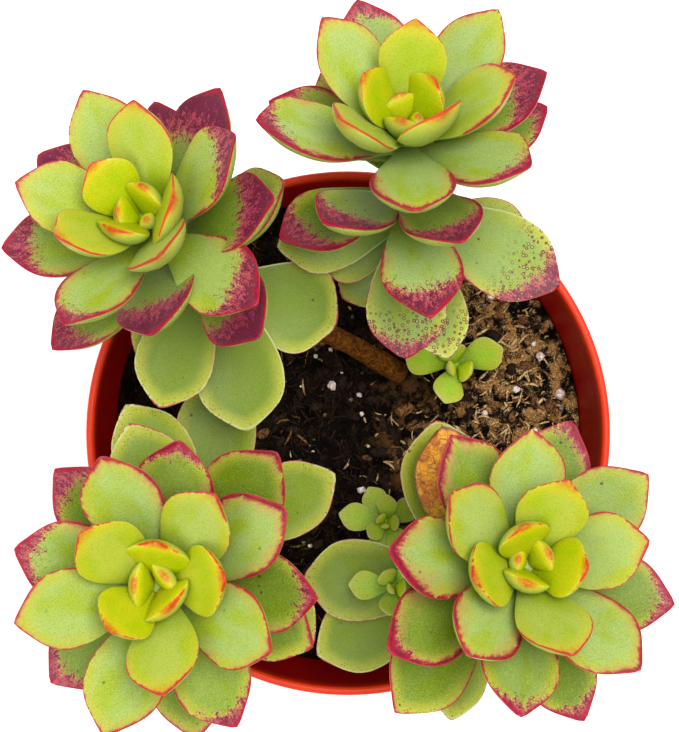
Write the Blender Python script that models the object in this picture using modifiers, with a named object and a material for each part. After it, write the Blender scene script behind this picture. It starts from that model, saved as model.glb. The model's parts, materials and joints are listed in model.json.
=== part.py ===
"""Potted echeveria: four leafy rosettes on leaning woody stems, two small offsets that grow
from the soil and one from a stem, in potting soil inside a round plastic nursery pot.

Metres, +Z up, origin at the centre of the pot's base. Leaf n = 1 is the youngest leaf of a
rosette, and each older leaf stands one golden turn further round the stem and a little lower.
"""
import math

import bmesh
import bpy
import numpy as np

COLLECTION = "potted_echeveria"
GAP = 0.0003

# Pot
RIM_RADIUS = 0.0525
POT_HEIGHT = 0.088
BASE_RADIUS = 0.0370
WALL = 0.0013
LIP_WIDTH = 0.0017
LIP_ROUND = 0.0004
BAND_HEIGHT = 0.0110
BAND_STEP = 0.0010
FLOOR = 0.0022
FOOT_WIDTH = 0.0035
FOOT_HEIGHT = 0.0012
CENTRE_DISC = 0.0120
DRAIN_COUNT = 5
DRAIN_RADIUS = 0.0038
DRAIN_RING = 0.0230
POT_SIDES = 44

# Soil
SOIL_TOP = 0.0700
SOIL_MOUND = 0.0012
SOIL_LUMP = 0.0009
SOIL_RINGS = 8
SOIL_SIDES = 36
ROUND_CUT_SIDES = 16

# Stems: thick and woody below, green where the leaves stand
STEM_RADIUS = 0.0021
STEM_FOOT_RADIUS = 0.0025
STEM_DEPTH = 0.0100
STEM_RISE = 0.0040
HOLE_ROOM = 0.0005
LINE_POINTS = 160
STEM_STEPS = 8
STEM_BEVEL_STEPS = 2
CORE_TIP_RADIUS = 0.0012
CORE_RADIUS = 0.0022
CORE_RUN = 0.0140
CORE_SIDES = 10
CORE_STEPS = 8

# Leaves: full sizes, and how many leaves out from the tip each quality takes to come on
GOLDEN_TURN = math.radians(137.5)
FULL_LENGTH = 0.0279
HALF_GROWN = 4.7
LENGTH_PACE = 2.2
FULL_WIDTH = 0.0150
WIDTH_PACE = 4.6
YOUNG_NARROWING = 0.82
FULL_THICK = 0.0042
YOUNG_THINNING = 0.30
YOUTH_PACE = 6.0
LEAF_ROOT = 0.0006
SPACING = 0.0005
OLD_SPACING = 0.0009
OLD_FROM = 17
# Pitch above the level falls from upright by OPENING degrees, to SAG below the level. The
# youngest leaves stand more open than that by YOUNG_OPENING.
OPENING = 108.0
OPENING_PACE = 14.5
SAG = 13.0
YOUNG_OPENING = 24.0
YOUNG_OPENING_PACE = 4.5
# Curl along the leaf in degrees, and cup across it as a part of its half width
OLD_CURL = 10.0
YOUNG_CURL = 18.0
OLD_CUP = 0.20
YOUNG_FLATTENING = 0.18
# Outline: a narrow root, the widest place, a rounded end and a small point
ROOT_WIDTH = 0.20
BLADE_SWELL = (1.15, 1.25)
WIDEST = 0.68
TIP_CURVE = (2.2, 0.66)
OLD_TIP_CURVE = (2.5, 0.62)
TIP_POINT = 0.0014
TIP_POINT_SHARPNESS = 12
# Section: nearly flat above and keeled below, thickest over the outer half
ROOT_THICKNESS = 0.48
THICKEST = 0.50
THIN_CURVE = (2.8, 0.60)
UPPER_BULGE = 0.20
YOUNG_BULGE = 0.22
STATIONS = (0.0, 0.32, 0.64, 0.85, 0.955)
AROUND = tuple(math.radians(a) for a in (0, 90, 180, 235, 305))

# Each rosette: growing tip, lean of its axis (degrees from upright, and towards), heading of
# its leaf spiral and its sense, size, number of leaves in the spiral, and its stem's root and
# first direction. nudges: leaves that grew out of rule, with degrees round the stem, degrees
# up, and factors of length and width. lower: how much further down the stem a leaf stands.
# skirt: old leaves low on the stem, each with its heading and pitch in degrees, how far down
# the stem it sits, its length and its width. bare_from: how far down the stem turns woody,
# where that is further than just below the lowest leaf.
ROSETTES = {
    "a": dict(
        tip=(-0.0360, 0.0391, 0.1330), lean=19, towards=125, heading=100, sense=-1, size=0.97,
        leaves=24, root=(0.0106, 0.0122), rise=(-0.50, 0.30, 0.80),
        nudges={
            1: (0, 0, 0.8, 0.7), 3: (10, 5, 1, 1), 4: (-22, 6, 1, 1), 6: (-5, 3, 0.95, 1.1),
            7: (3, 8, 1, 1), 9: (6, 5, 0.9, 1), 10: (3, 3, 0.96, 1), 11: (-8, 0, 1.07, 1),
            14: (-13, -15, 1.08, 1), 15: (-8, 0, 0.98, 1), 16: (-7, 0, 1, 1), 17: (0, 5, 0.88, 1.1),
            18: (0, 0, 1.05, 1), 19: (-8, 4, 1, 1), 20: (-4, 0, 1, 1), 21: (6, 0, 1, 1),
            22: (-1, 0, 1.03, 1), 23: (17, -5, 1, 1), 24: (-20, 3, 0.86, 1),
        },
        lower={17: 0.003, 22: 0.005},
        skirt=[(252, 0, 0.022, 0.0260, 0.0145), (277, 0, 0.0285, 0.0270, 0.0165),
               (337, -12, 0.027, 0.0220, 0.0175), (232, 0, 0.026, 0.0215, 0.0145)],
        bare_from=0.0430,
    ),
    "b": dict(
        tip=(0.0100, 0.0555, 0.1340), lean=30, towards=90, heading=200, sense=1, size=0.96,
        leaves=24, root=(0.0135, 0.0200), rise=(0.0, 0.4, 1.0),
        nudges={
            1: (10, 0, 0.8, 0.7), 3: (0, 3, 0.95, 0.85), 4: (5, 6, 1, 1), 5: (-5, 4, 1, 1),
            6: (0, 8, 1, 1.15), 7: (0, 9, 1, 1), 8: (0, 5, 1, 1), 9: (5, 0, 0.97, 1),
            11: (0, -8, 1, 1.1), 12: (-3, 0, 1.03, 1), 13: (5, 0, 1.08, 1), 15: (6, 0, 1.02, 1),
            16: (-7, 12, 1, 1), 17: (4, 0, 1, 1), 18: (9, 0, 0.93, 1), 19: (-1, 12, 1, 1.0),
            21: (0, -8, 0.91, 1), 22: (38, 0, 1, 1), 24: (17, -5, 1, 1.03),
        },
        lower={16: 0.0115, 19: 0.006, 21: 0.005, 24: 0.003},
        skirt=[(269, -5, 0.0245, 0.026, 0.0150), (192, 5, 0.0275, 0.0235, 0.0135),
               (287, 0, 0.030, 0.024, 0.0120), (330, 5, 0.022, 0.030, 0.0155),
               (348, 0, 0.027, 0.022, 0.0140), (196, -4, 0.031, 0.0175, 0.0130),
               (220, -20, 0.034, 0.0165, 0.0110)],
    ),
    "c": dict(
        tip=(-0.0335, -0.0247, 0.1330), lean=7, towards=115, heading=263, sense=1, size=1.01,
        leaves=24, root=(-0.0185, -0.0105), rise=(-0.1, -0.2, 1.0),
        nudges={
            1: (0, 0, 1.1, 1.3), 2: (0, 0, 1, 1.15), 3: (-3, 0, 1, 1.2), 4: (-12, -6, 0.96, 1.15),
            5: (-4, 0, 1, 1), 6: (0, -7, 1, 1.05), 7: (-8, 0, 0.97, 1), 9: (-8, -4, 1, 1),
            10: (-5, 0, 1.03, 1), 11: (2, 0, 1.05, 1), 12: (-6, 0, 1, 1), 13: (3, 0, 1, 1),
            14: (3, 0, 1.1, 1), 15: (-2, 0, 0.93, 1), 17: (-2, 0, 0.95, 1), 18: (3, 0, 0.93, 1),
            19: (2, 0, 1, 1), 20: (0, 0, 0.97, 1), 21: (8, 0, 1, 1), 22: (0, 0, 1.1, 1.05),
            23: (8, 0, 0.93, 1), 24: (10, 0, 0.95, 1),
        },
        skirt=[(30, 5, 0.028, 0.027, 0.0140), (112, 5, 0.020, 0.0265, 0.0145),
               (92, 0, 0.036, 0.028, 0.0155), (318, 0, 0.028, 0.026, 0.0140),
               (120, 5, 0.030, 0.029, 0.0150)],
    ),
    "d": dict(
        tip=(0.0312, -0.0216, 0.1300), lean=16, towards=70, heading=302.5, sense=-1, size=1.0,
        leaves=24, root=(0.0155, -0.0310), rise=(0.0, 0.05, 1.0),
        nudges={
            3: (0, 3, 1, 1), 4: (0, 5, 1, 1), 5: (12, 5, 1, 1), 6: (0, -3, 1, 1),
            7: (11, 5, 1, 1), 9: (4, 0, 1, 1), 10: (2, 0, 0.9, 1), 11: (0, 0, 0.95, 1),
            12: (0, 0, 0.94, 1), 13: (-3, 0, 1, 1), 14: (0, 0, 1.04, 1), 15: (-3, 0, 1, 1),
            16: (0, 0, 0.97, 1), 17: (-3, 0, 0.96, 1), 19: (0, 0, 1.05, 1), 20: (-4, 0, 1.04, 1),
            24: (-13, -3, 1.1, 1.05),
        },
        missing=(22,),
        skirt=[(178, 0, 0.034, 0.028, 0.0160), (208, 0, 0.036, 0.028, 0.0155),
               (99, 4, 0.032, 0.030, 0.0170), (104, 9, 0.0245, 0.0288, 0.0150),
               (262, 0, 0.028, 0.025, 0.0115)],
    ),
}
STEM_REACH = 0.022

# Offsets: small plump rosettes, two on short stems straight out of the soil and one that
# grows from the side of a big stem. pace and growth: how many leaves of a big rosette each
# leaf counts for in how far it has opened and lengthened.
PUPS = {
    "e": dict(root=(0.0215, 0.0145), height=0.0105, lean=10, towards=300, heading=58, sense=1,
              size=0.48, leaves=6),
    "f": dict(root=(0.0084, -0.0190), height=0.0100, lean=8, towards=150, heading=52, sense=-1,
              size=0.28, leaves=10, nudges={7: (0, 0, 1.3, 1.2)}),
}
SIDE_SHOOT = dict(tip=(0.0086, -0.0285, 0.1047), lean=14, towards=20, heading=72, sense=1,
                  size=0.34, leaves=7, parent="d", parent_drop=0.0320)
PUP_STEM_RADIUS = 0.0012
PUP_CORE_STEPS = 4
PUP_PACE = 3.0
PUP_GROWTH = 1.45
PUP_PLUMPNESS = 1.4

LEAF_COLOR = (0.36, 0.52, 0.14)
PUP_COLOR = (0.40, 0.56, 0.16)
BARK_COLOR = (0.16, 0.09, 0.04)
SOIL_COLOR = (0.035, 0.022, 0.014)
POT_COLOR = (0.72, 0.12, 0.04)
SHARP_ANGLE = math.radians(40)


def clear_scene():
    for obj in list(bpy.data.objects):
        bpy.data.objects.remove(obj, do_unlink=True)


def new_collection(name):
    coll = bpy.data.collections.new(name)
    bpy.context.scene.collection.children.link(coll)
    return coll


def new_material(name, color, roughness, subsurface=0.0):
    mat = bpy.data.materials.new(name)
    mat.use_nodes = True
    shader = mat.node_tree.nodes["Principled BSDF"]
    shader.inputs["Base Color"].default_value = (*color, 1.0)
    shader.inputs["Roughness"].default_value = roughness
    shader.inputs["Subsurface Weight"].default_value = subsurface
    return mat


def add_object(name, data, coll, mat):
    obj = bpy.data.objects.new(name, data)
    data.materials.append(mat)
    coll.objects.link(obj)
    return obj


def evaluated_mesh(obj):
    depsgraph = bpy.context.evaluated_depsgraph_get()
    return bpy.data.meshes.new_from_object(obj.evaluated_get(depsgraph))


def apply_modifiers(obj):
    mesh = evaluated_mesh(obj)
    obj.modifiers.clear()
    obj.data = mesh


def turned(name, profile, sides, coll, mat):
    """A solid of revolution: the profile's (radius, height) points run down its outer side."""
    mesh = bpy.data.meshes.new(name)
    points = [(r, 0.0, z) for r, z in profile]
    mesh.from_pydata(points, [(i, i + 1) for i in range(len(points) - 1)], [])
    obj = add_object(name, mesh, coll, mat)
    screw = obj.modifiers.new("turn", "SCREW")
    screw.steps = sides
    screw.render_steps = sides
    screw.use_merge_vertices = True
    screw.merge_threshold = 0.00001
    return obj


def outer_wall(z):
    """Outer radius of the pot's plain wall at height z."""
    band_bottom = POT_HEIGHT - BAND_HEIGHT
    top = RIM_RADIUS - BAND_STEP
    return BASE_RADIUS + (top - BASE_RADIUS) * z / band_bottom


def inner_wall(z):
    return outer_wall(z) - WALL


def make_pot(coll, cutters):
    band_bottom = POT_HEIGHT - BAND_HEIGHT
    lip_inner = RIM_RADIUS - LIP_WIDTH
    foot_inner = BASE_RADIUS - FOOT_WIDTH
    profile = [
        (0.0, FLOOR),
        (inner_wall(FLOOR) - LIP_WIDTH, FLOOR),
        (inner_wall(FLOOR + LIP_WIDTH), FLOOR + LIP_WIDTH),
        (inner_wall(SOIL_TOP), SOIL_TOP),
        (lip_inner, POT_HEIGHT - LIP_ROUND),
        (lip_inner + LIP_ROUND, POT_HEIGHT),
        (RIM_RADIUS - LIP_ROUND, POT_HEIGHT),
        (RIM_RADIUS, POT_HEIGHT - LIP_ROUND),
        (RIM_RADIUS - LIP_ROUND, band_bottom + LIP_ROUND),
        (RIM_RADIUS - 2 * LIP_ROUND, band_bottom),
        (outer_wall(band_bottom - LIP_ROUND), band_bottom - LIP_ROUND),
        (outer_wall(LIP_ROUND), LIP_ROUND),
        (BASE_RADIUS - LIP_ROUND, 0.0),
        (foot_inner, 0.0),
        (foot_inner - FOOT_HEIGHT, FOOT_HEIGHT),
        (CENTRE_DISC + FOOT_HEIGHT, FOOT_HEIGHT),
        (CENTRE_DISC, 0.0),
        (0.0, 0.0),
    ]
    mat = new_material("terracotta_plastic", POT_COLOR, 0.42)
    pot = turned("pot", profile, POT_SIDES, coll, mat)
    for i in range(DRAIN_COUNT):
        angle = 2 * math.pi * i / DRAIN_COUNT
        centre = (DRAIN_RING * math.cos(angle), DRAIN_RING * math.sin(angle), FLOOR / 2)
        drain = round_cutter("drain_cutter_%d" % i, centre, DRAIN_RADIUS, 4 * FLOOR, cutters)
        cut(pot, drain)
    return pot


def round_cutter(name, centre, radius, length, cutters):
    mesh = bpy.data.meshes.new(name)
    bm = bmesh.new()
    bmesh.ops.create_cone(bm, cap_ends=True, segments=ROUND_CUT_SIDES, radius1=radius,
                          radius2=radius, depth=length)
    bm.to_mesh(mesh)
    bm.free()
    obj = bpy.data.objects.new(name, mesh)
    obj.location = centre
    obj.hide_render = True
    obj.display_type = "WIRE"
    cutters.objects.link(obj)
    return obj


def cut(obj, cutter):
    boolean = obj.modifiers.new(cutter.name, "BOOLEAN")
    boolean.operation = "DIFFERENCE"
    boolean.solver = "EXACT"
    boolean.object = cutter


def soil_height(x, y):
    """Height of the soil surface: a slight mound with lumps, level at the pot's wall."""
    part = math.hypot(x, y) / inner_wall(SOIL_TOP)
    broad = math.sin(x / 0.0032 + 1.3) * math.cos(y / 0.0037 - 0.6)
    small = math.sin(y / 0.0018 + x / 0.0024) * math.cos(x / 0.0016 - y / 0.0045)
    lumps = SOIL_LUMP * (broad + 0.6 * small) * (1 - part ** 6)
    return SOIL_TOP + SOIL_MOUND * (1 - part ** 2) + lumps


def make_soil(coll, cutters):
    top_radius = inner_wall(SOIL_TOP) - GAP
    floor_radius = inner_wall(FLOOR + LIP_WIDTH) - 2 * LIP_WIDTH
    rings = [top_radius * i / SOIL_RINGS for i in range(SOIL_RINGS + 1)]
    profile = [(r, SOIL_TOP) for r in rings]
    profile += [
        (inner_wall(2 * FLOOR + LIP_WIDTH) - GAP, 2 * FLOOR + LIP_WIDTH),
        (floor_radius, FLOOR + GAP),
        (0.0, FLOOR + GAP),
    ]
    mat = new_material("potting_soil", SOIL_COLOR, 0.95)
    soil = turned("soil", profile, SOIL_SIDES, coll, mat)
    apply_modifiers(soil)
    for v in soil.data.vertices:
        if v.co.z > SOIL_TOP - GAP:
            v.co.z = soil_height(v.co.x, v.co.y)
    for key, rosette in ROSETTES.items():
        dig_hole(soil, "stem_hole_" + key, rosette["root"], STEM_FOOT_RADIUS, cutters)
    for key, pup in PUPS.items():
        dig_hole(soil, "pup_hole_" + key, pup["root"], PUP_STEM_RADIUS, cutters)
    return soil


def dig_hole(soil, name, place, radius, cutters):
    """A plain round hole that a stem stands in."""
    depth = STEM_DEPTH + GAP
    height = 2 * depth
    centre = (*place, SOIL_TOP - depth + height / 2)
    cut(soil, round_cutter(name, centre, radius + HOLE_ROOM, height, cutters))


def axis_of(plant):
    lean = math.radians(plant["lean"])
    towards = math.radians(plant["towards"])
    level = math.sin(lean)
    return np.array([level * math.cos(towards), level * math.sin(towards), math.cos(lean)])


class StemLine:
    """A stem's centre line from its growing tip down to its root, with directions along it."""

    def __init__(self, tip, axis, root, rise, reach):
        tip, root = np.array(tip, float), np.array(root, float)
        rise = np.array(rise, float) / np.linalg.norm(rise)
        low, high = root + rise * reach, tip - axis * reach
        t = np.linspace(1, 0, LINE_POINTS)[:, None]
        self.points = ((1 - t) ** 3 * root + 3 * (1 - t) ** 2 * t * low
                       + 3 * (1 - t) * t * t * high + t ** 3 * tip)
        steps = np.linalg.norm(np.diff(self.points, axis=0), axis=1)
        self.along = np.concatenate([[0.0], np.cumsum(steps)])
        forward = -np.gradient(self.points, self.along, axis=0)
        self.forward = forward / np.linalg.norm(forward, axis=1)[:, None]
        self.side = self.carry_side(axis)

    def carry_side(self, axis):
        """A side direction at each point that turns no more than the line itself does."""
        x, y, z = axis
        side = np.array([1 - x * x / (1 + z), -x * y / (1 + z), -x])
        sides = []
        for direction in self.forward:
            side = side - direction * side.dot(direction)
            side = side / np.linalg.norm(side)
            sides.append(side)
        return np.array(sides)

    def at(self, distance):
        """Place, side, other side and forward direction at a distance below the tip."""
        place, side, forward = (
            np.array([np.interp(distance, self.along, values[:, i]) for i in range(3)])
            for values in (self.points, self.side, self.forward))
        forward /= np.linalg.norm(forward)
        side -= forward * side.dot(forward)
        side /= np.linalg.norm(side)
        return place, side, np.cross(forward, side), forward


def stem_line(rosette):
    root = (*rosette["root"], SOIL_TOP + STEM_RISE)
    return StemLine(rosette["tip"], axis_of(rosette), root, rosette["rise"], STEM_REACH)


def leaf_rule(n, pace=1.0, growth=1.0):
    """Length, width, thickness, pitch and curl of leaf n, and how far below the tip it stands."""
    youth = math.exp(-n / YOUTH_PACE)
    return dict(
        length=FULL_LENGTH / (1 + math.exp((HALF_GROWN - n * growth) / LENGTH_PACE)),
        width=FULL_WIDTH * (1 - YOUNG_NARROWING * math.exp(-n / WIDTH_PACE)),
        thick=FULL_THICK * (1 - YOUNG_THINNING * youth),
        pitch=(OPENING * math.exp(-n * pace / OPENING_PACE) - SAG
               - YOUNG_OPENING * math.exp(-n * pace / YOUNG_OPENING_PACE)),
        curl=OLD_CURL + YOUNG_CURL * youth,
        cup=OLD_CUP - YOUNG_FLATTENING * youth,
        bulge=UPPER_BULGE + YOUNG_BULGE * youth,
        root=LEAF_ROOT,
        tip_curve=TIP_CURVE,
        drop=SPACING * n + OLD_SPACING * max(0, n - OLD_FROM),
    )


def half_width(u, tip_curve):
    """Half the leaf's width at u of its length, as a part of its half width at the widest."""
    if u < WIDEST:
        swell = math.sin(math.pi / 2 * (u / WIDEST) ** BLADE_SWELL[0]) ** BLADE_SWELL[1]
        return ROOT_WIDTH + (1 - ROOT_WIDTH) * swell
    t = (u - WIDEST) / (1 - WIDEST)
    return (1 - t ** tip_curve[0]) ** tip_curve[1]


def thickness(u):
    """The leaf's thickness at u of its length, as a part of its thickness at the thickest."""
    if u < THICKEST:
        return ROOT_THICKNESS + (1 - ROOT_THICKNESS) * math.sin(math.pi / 2 * u / THICKEST)
    t = (u - THICKEST) / (1 - THICKEST)
    return (1 - t ** THIN_CURVE[0]) ** THIN_CURVE[1]


def leaf_centre(u, leaf):
    """Distance out and up of the leaf's centre line at u of its length, and its slope there."""
    start = math.radians(leaf["pitch"] - leaf["curl"] / 2)
    curl = math.radians(leaf["curl"])
    slope = start + curl * u
    out = leaf["length"] / curl * (math.sin(slope) - math.sin(start))
    up = leaf["length"] / curl * (math.cos(start) - math.cos(slope))
    t = max(0.0, (u - WIDEST) / (1 - WIDEST))
    point = TIP_POINT * leaf["length"] / FULL_LENGTH * t ** TIP_POINT_SHARPNESS
    return out + point * math.cos(slope), up + point * math.sin(slope), slope


def leaf_point(u, angle, leaf):
    """A point of the leaf's skin: x out from the stem, y across the leaf and z up the stem."""
    out, up, slope = leaf_centre(u, leaf)
    half = leaf["width"] / 2 * half_width(u, leaf["tip_curve"])
    thick = leaf["thick"] * thickness(u)
    side, height = math.cos(angle), math.sin(angle)
    bulge = leaf["bulge"] if height > 0 else 1 - leaf["bulge"]
    lift = leaf["cup"] * half * side * side + bulge * thick * height
    return out - lift * math.sin(slope), half * side, up + lift * math.cos(slope)


def leaf_mesh(name, leaf, place, out, up):
    """A closed leaf: rings of points from its root to a single point at its tip."""
    across = np.cross(up, out)
    mesh = bpy.data.meshes.new(name)
    bm = bmesh.new()

    def vertex(u, angle):
        x, y, z = leaf_point(u, angle, leaf)
        return bm.verts.new(place + out * (x + leaf["root"]) + across * y + up * z)

    rings = [[vertex(u, angle) for angle in AROUND] for u in STATIONS]
    tip = vertex(1.0, 0.0)
    bridge_rings(bm, rings)
    bm.faces.new(reversed(rings[0]))
    for i in range(len(AROUND)):
        bm.faces.new((rings[-1][i - 1], rings[-1][i], tip))
    bmesh.ops.triangulate(bm, faces=bm.faces)
    bmesh.ops.recalc_face_normals(bm, faces=bm.faces)
    bm.to_mesh(mesh)
    bm.free()
    return mesh


def bridge_rings(bm, rings):
    for low, high in zip(rings, rings[1:]):
        for i in range(len(low)):
            bm.faces.new((low[i - 1], low[i], high[i], high[i - 1]))


def core_radius(distance):
    ease = min(1.0, distance / CORE_RUN)
    return CORE_TIP_RADIUS + (CORE_RADIUS - CORE_TIP_RADIUS) * math.sqrt(ease)


def core_mesh(name, line, end, scale, steps, foot=None):
    """The green stem inside a rosette, from its tip to the distance end, or on to a foot."""
    bm = bmesh.new()
    rings = []
    for i in range(steps + 1):
        distance = end * i / steps
        place, side, other, _ = line.at(distance)
        rings.append(core_ring(bm, place, side, other, core_radius(distance / scale) * scale))
    if foot is not None:
        rings.append(core_ring(bm, np.array(foot), side, other, CORE_RADIUS * scale))
    bridge_rings(bm, rings)
    bm.faces.new(rings[0])
    bm.faces.new(rings[-1])
    bmesh.ops.triangulate(bm, faces=bm.faces)
    bmesh.ops.recalc_face_normals(bm, faces=bm.faces)
    mesh = bpy.data.meshes.new(name)
    bm.to_mesh(mesh)
    bm.free()
    return mesh


def core_ring(bm, place, side, other, radius):
    angles = [2 * math.pi * k / CORE_SIDES for k in range(CORE_SIDES)]
    return [bm.verts.new(place + radius * (side * math.cos(a) + other * math.sin(a)))
            for a in angles]


def spiral_leaves(plant, line):
    """Each leaf of the golden spiral with its place, its direction out and its direction up."""
    for n in range(1, plant["leaves"] + 1):
        if n in plant.get("missing", ()):
            continue
        turn, lift, longer, wider = plant.get("nudges", {}).get(n, (0, 0, 1, 1))
        leaf = leaf_rule(n, plant.get("pace", 1.0), plant.get("growth", 1.0))
        leaf["pitch"] += lift
        leaf["length"] *= plant["size"] * longer
        leaf["width"] *= plant["size"] * wider * plant.get("plumpness", 1.0)
        leaf["thick"] *= plant["size"] * plant.get("plumpness", 1.0)
        leaf["root"] *= plant["size"]
        angle = math.radians(plant["heading"] + turn) + plant["sense"] * GOLDEN_TURN * n
        drop = leaf["drop"] * plant["size"] + plant.get("lower", {}).get(n, 0)
        place, side, other, forward = line.at(drop)
        yield leaf, place, side * math.cos(angle) + other * math.sin(angle), forward


def skirt_leaves(plant, line):
    """Each old leaf, held level and facing up however its stem leans."""
    for heading, pitch, drop, length, width in plant.get("skirt", ()):
        leaf = leaf_rule(plant["leaves"])
        leaf.update(length=length, width=width, pitch=pitch, tip_curve=OLD_TIP_CURVE)
        angle = math.radians(heading)
        place = line.at(drop)[0]
        yield leaf, place, np.array([math.cos(angle), math.sin(angle), 0.0]), np.array([0, 0, 1.0])


def join_pieces(name, core, leaves, coll, mat, more=()):
    """One body of a core, its leaves and any more meshes, by one Boolean union."""
    body = add_object(name, core, coll, mat)
    pieces = new_collection(name + "_pieces")
    meshes = [leaf_mesh("%s_leaf_%d" % (name, i), *leaf) for i, leaf in enumerate(leaves)]
    for mesh in meshes + list(more):
        pieces.objects.link(bpy.data.objects.new(mesh.name, mesh))
    union = body.modifiers.new("pieces", "BOOLEAN")
    union.operation = "UNION"
    union.solver = "EXACT"
    union.operand_type = "COLLECTION"
    union.collection = pieces
    apply_modifiers(body)
    for obj in list(pieces.objects):
        bpy.data.objects.remove(obj, do_unlink=True)
    bpy.data.collections.remove(pieces)
    return body


def core_end(rosette):
    """Where the green core ends and the woody stem begins: below the lowest leaf."""
    lowest = max(drop for _, _, drop, _, _ in rosette["skirt"])
    return rosette.get("bare_from", lowest + 2 * STEM_RADIUS)


def make_rosette(key, rosette, coll):
    line = stem_line(rosette)
    name = "rosette_" + key
    mat = new_material(name + "_leaf", LEAF_COLOR, 0.45, 0.1)
    core = core_mesh(name, line, core_end(rosette), 1.0, CORE_STEPS)
    leaves = list(spiral_leaves(rosette, line)) + list(skirt_leaves(rosette, line))
    shoot_core = []
    if key == SIDE_SHOOT["parent"]:
        shoot = pup_plant(SIDE_SHOOT)
        root = line.at(SIDE_SHOOT["parent_drop"])[0]
        reach = np.linalg.norm(root - shoot["tip"]) / 3
        shoot_line = StemLine(shoot["tip"], axis_of(shoot), root, shoot["tip"] - root, reach)
        leaves += spiral_leaves(shoot, shoot_line)
        shoot_core.append(core_mesh("side_shoot", shoot_line, shoot_line.along[-1],
                                    PUP_STEM_RADIUS / CORE_RADIUS, PUP_CORE_STEPS))
    join_pieces(name, core, leaves, coll, mat, shoot_core)


def make_stem(key, rosette, coll):
    """The bare woody stem, from under its leaves down into the soil."""
    line = stem_line(rosette)
    start = core_end(rosette) + GAP
    length = line.along[-1] - start
    points = [line.at(start + length * i / STEM_STEPS)[0] for i in range(STEM_STEPS + 1)]
    foot = (*rosette["root"], SOIL_TOP - STEM_DEPTH)
    curve = bpy.data.curves.new("stem_" + key, "CURVE")
    curve.dimensions = "3D"
    curve.bevel_depth = 1.0
    curve.bevel_resolution = STEM_BEVEL_STEPS
    curve.use_fill_caps = True
    spline = curve.splines.new("POLY")
    spline.points.add(len(points))
    for i, place in enumerate(points + [foot]):
        spline.points[i].co = (*place, 1.0)
        ease = min(1.0, i / STEM_STEPS)
        spline.points[i].radius = STEM_RADIUS + (STEM_FOOT_RADIUS - STEM_RADIUS) * ease
    mat = new_material("stem_%s_bark" % key, BARK_COLOR, 0.85)
    return add_object("stem_" + key, curve, coll, mat)


def pup_plant(pup):
    return dict(pup, pace=PUP_PACE, growth=PUP_GROWTH, plumpness=PUP_PLUMPNESS)


def make_pup(key, pup, coll):
    """A small rosette on a short stem that stands in its hole in the soil."""
    plant = pup_plant(pup)
    root = np.array([*pup["root"], SOIL_TOP + STEM_RISE])
    axis = axis_of(pup)
    tip = root + axis * (pup["height"] - STEM_RISE)
    line = StemLine(tip, axis, root, (0, 0, 1), pup["height"] / 3)
    name = "pup_" + key
    mat = new_material(name + "_leaf", PUP_COLOR, 0.45, 0.1)
    foot = (*pup["root"], SOIL_TOP - STEM_DEPTH)
    core = core_mesh(name, line, line.along[-1], PUP_STEM_RADIUS / CORE_RADIUS,
                     PUP_CORE_STEPS, foot)
    join_pieces(name, core, list(spiral_leaves(plant, line)), coll, mat)


def shade(coll):
    for obj in coll.objects:
        if obj.type == "MESH":
            obj.data.shade_smooth()
            obj.data.set_sharp_from_angle(angle=SHARP_ANGLE)


def main():
    clear_scene()
    coll = new_collection(COLLECTION)
    cutters = new_collection("cutters")
    make_pot(coll, cutters)
    make_soil(coll, cutters)
    for key, rosette in ROSETTES.items():
        make_stem(key, rosette, coll)
        make_rosette(key, rosette, coll)
    for key, pup in PUPS.items():
        make_pup(key, pup, coll)
    shade(coll)


main()
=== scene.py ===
"""Looks of the potted echeveria: fine leaves with red margins, bark, potting soil and its pot.

Metres, +Z up, origin at the centre of the pot's base. The leaves follow the same rules as the
solids: leaf n = 1 is the youngest of a rosette, and each older one stands a golden turn on.
"""
import json
import math
import random

import bmesh
import bpy
import numpy as np
from mathutils import Matrix, Vector, noise

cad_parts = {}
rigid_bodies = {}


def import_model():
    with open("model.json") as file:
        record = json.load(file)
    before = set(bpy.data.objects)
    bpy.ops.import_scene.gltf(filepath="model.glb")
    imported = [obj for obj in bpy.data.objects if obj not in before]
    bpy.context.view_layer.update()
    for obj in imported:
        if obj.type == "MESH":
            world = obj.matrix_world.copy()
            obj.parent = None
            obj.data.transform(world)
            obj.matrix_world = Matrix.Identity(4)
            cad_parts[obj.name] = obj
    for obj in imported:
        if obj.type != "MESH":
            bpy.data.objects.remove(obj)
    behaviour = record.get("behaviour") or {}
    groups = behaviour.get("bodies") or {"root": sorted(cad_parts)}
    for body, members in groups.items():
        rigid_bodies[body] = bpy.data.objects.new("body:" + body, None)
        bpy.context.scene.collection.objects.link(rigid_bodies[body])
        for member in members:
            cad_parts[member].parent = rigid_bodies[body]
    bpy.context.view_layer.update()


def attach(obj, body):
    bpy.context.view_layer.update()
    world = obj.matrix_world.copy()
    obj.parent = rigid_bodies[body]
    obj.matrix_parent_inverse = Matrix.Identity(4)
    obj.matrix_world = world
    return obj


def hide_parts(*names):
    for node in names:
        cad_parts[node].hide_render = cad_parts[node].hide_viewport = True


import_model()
BODY = "root"
GAP = 0.0003

# Camera: straight above the plant, where the photograph was taken from
CAMERA_PLACE = (-0.00174, 0.01346, 0.438)
FOCAL_PIXELS = 1750.7
FRAME_WIDTH = 679
SENSOR_WIDTH = 36.0

def rgb(red, green, blue):
    """A linear colour from screen values of 0 to 255."""
    return tuple((v / 255 / 12.92 if v <= 10 else ((v / 255 + 0.055) / 1.055) ** 2.4)
                 for v in (red, green, blue))


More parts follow.
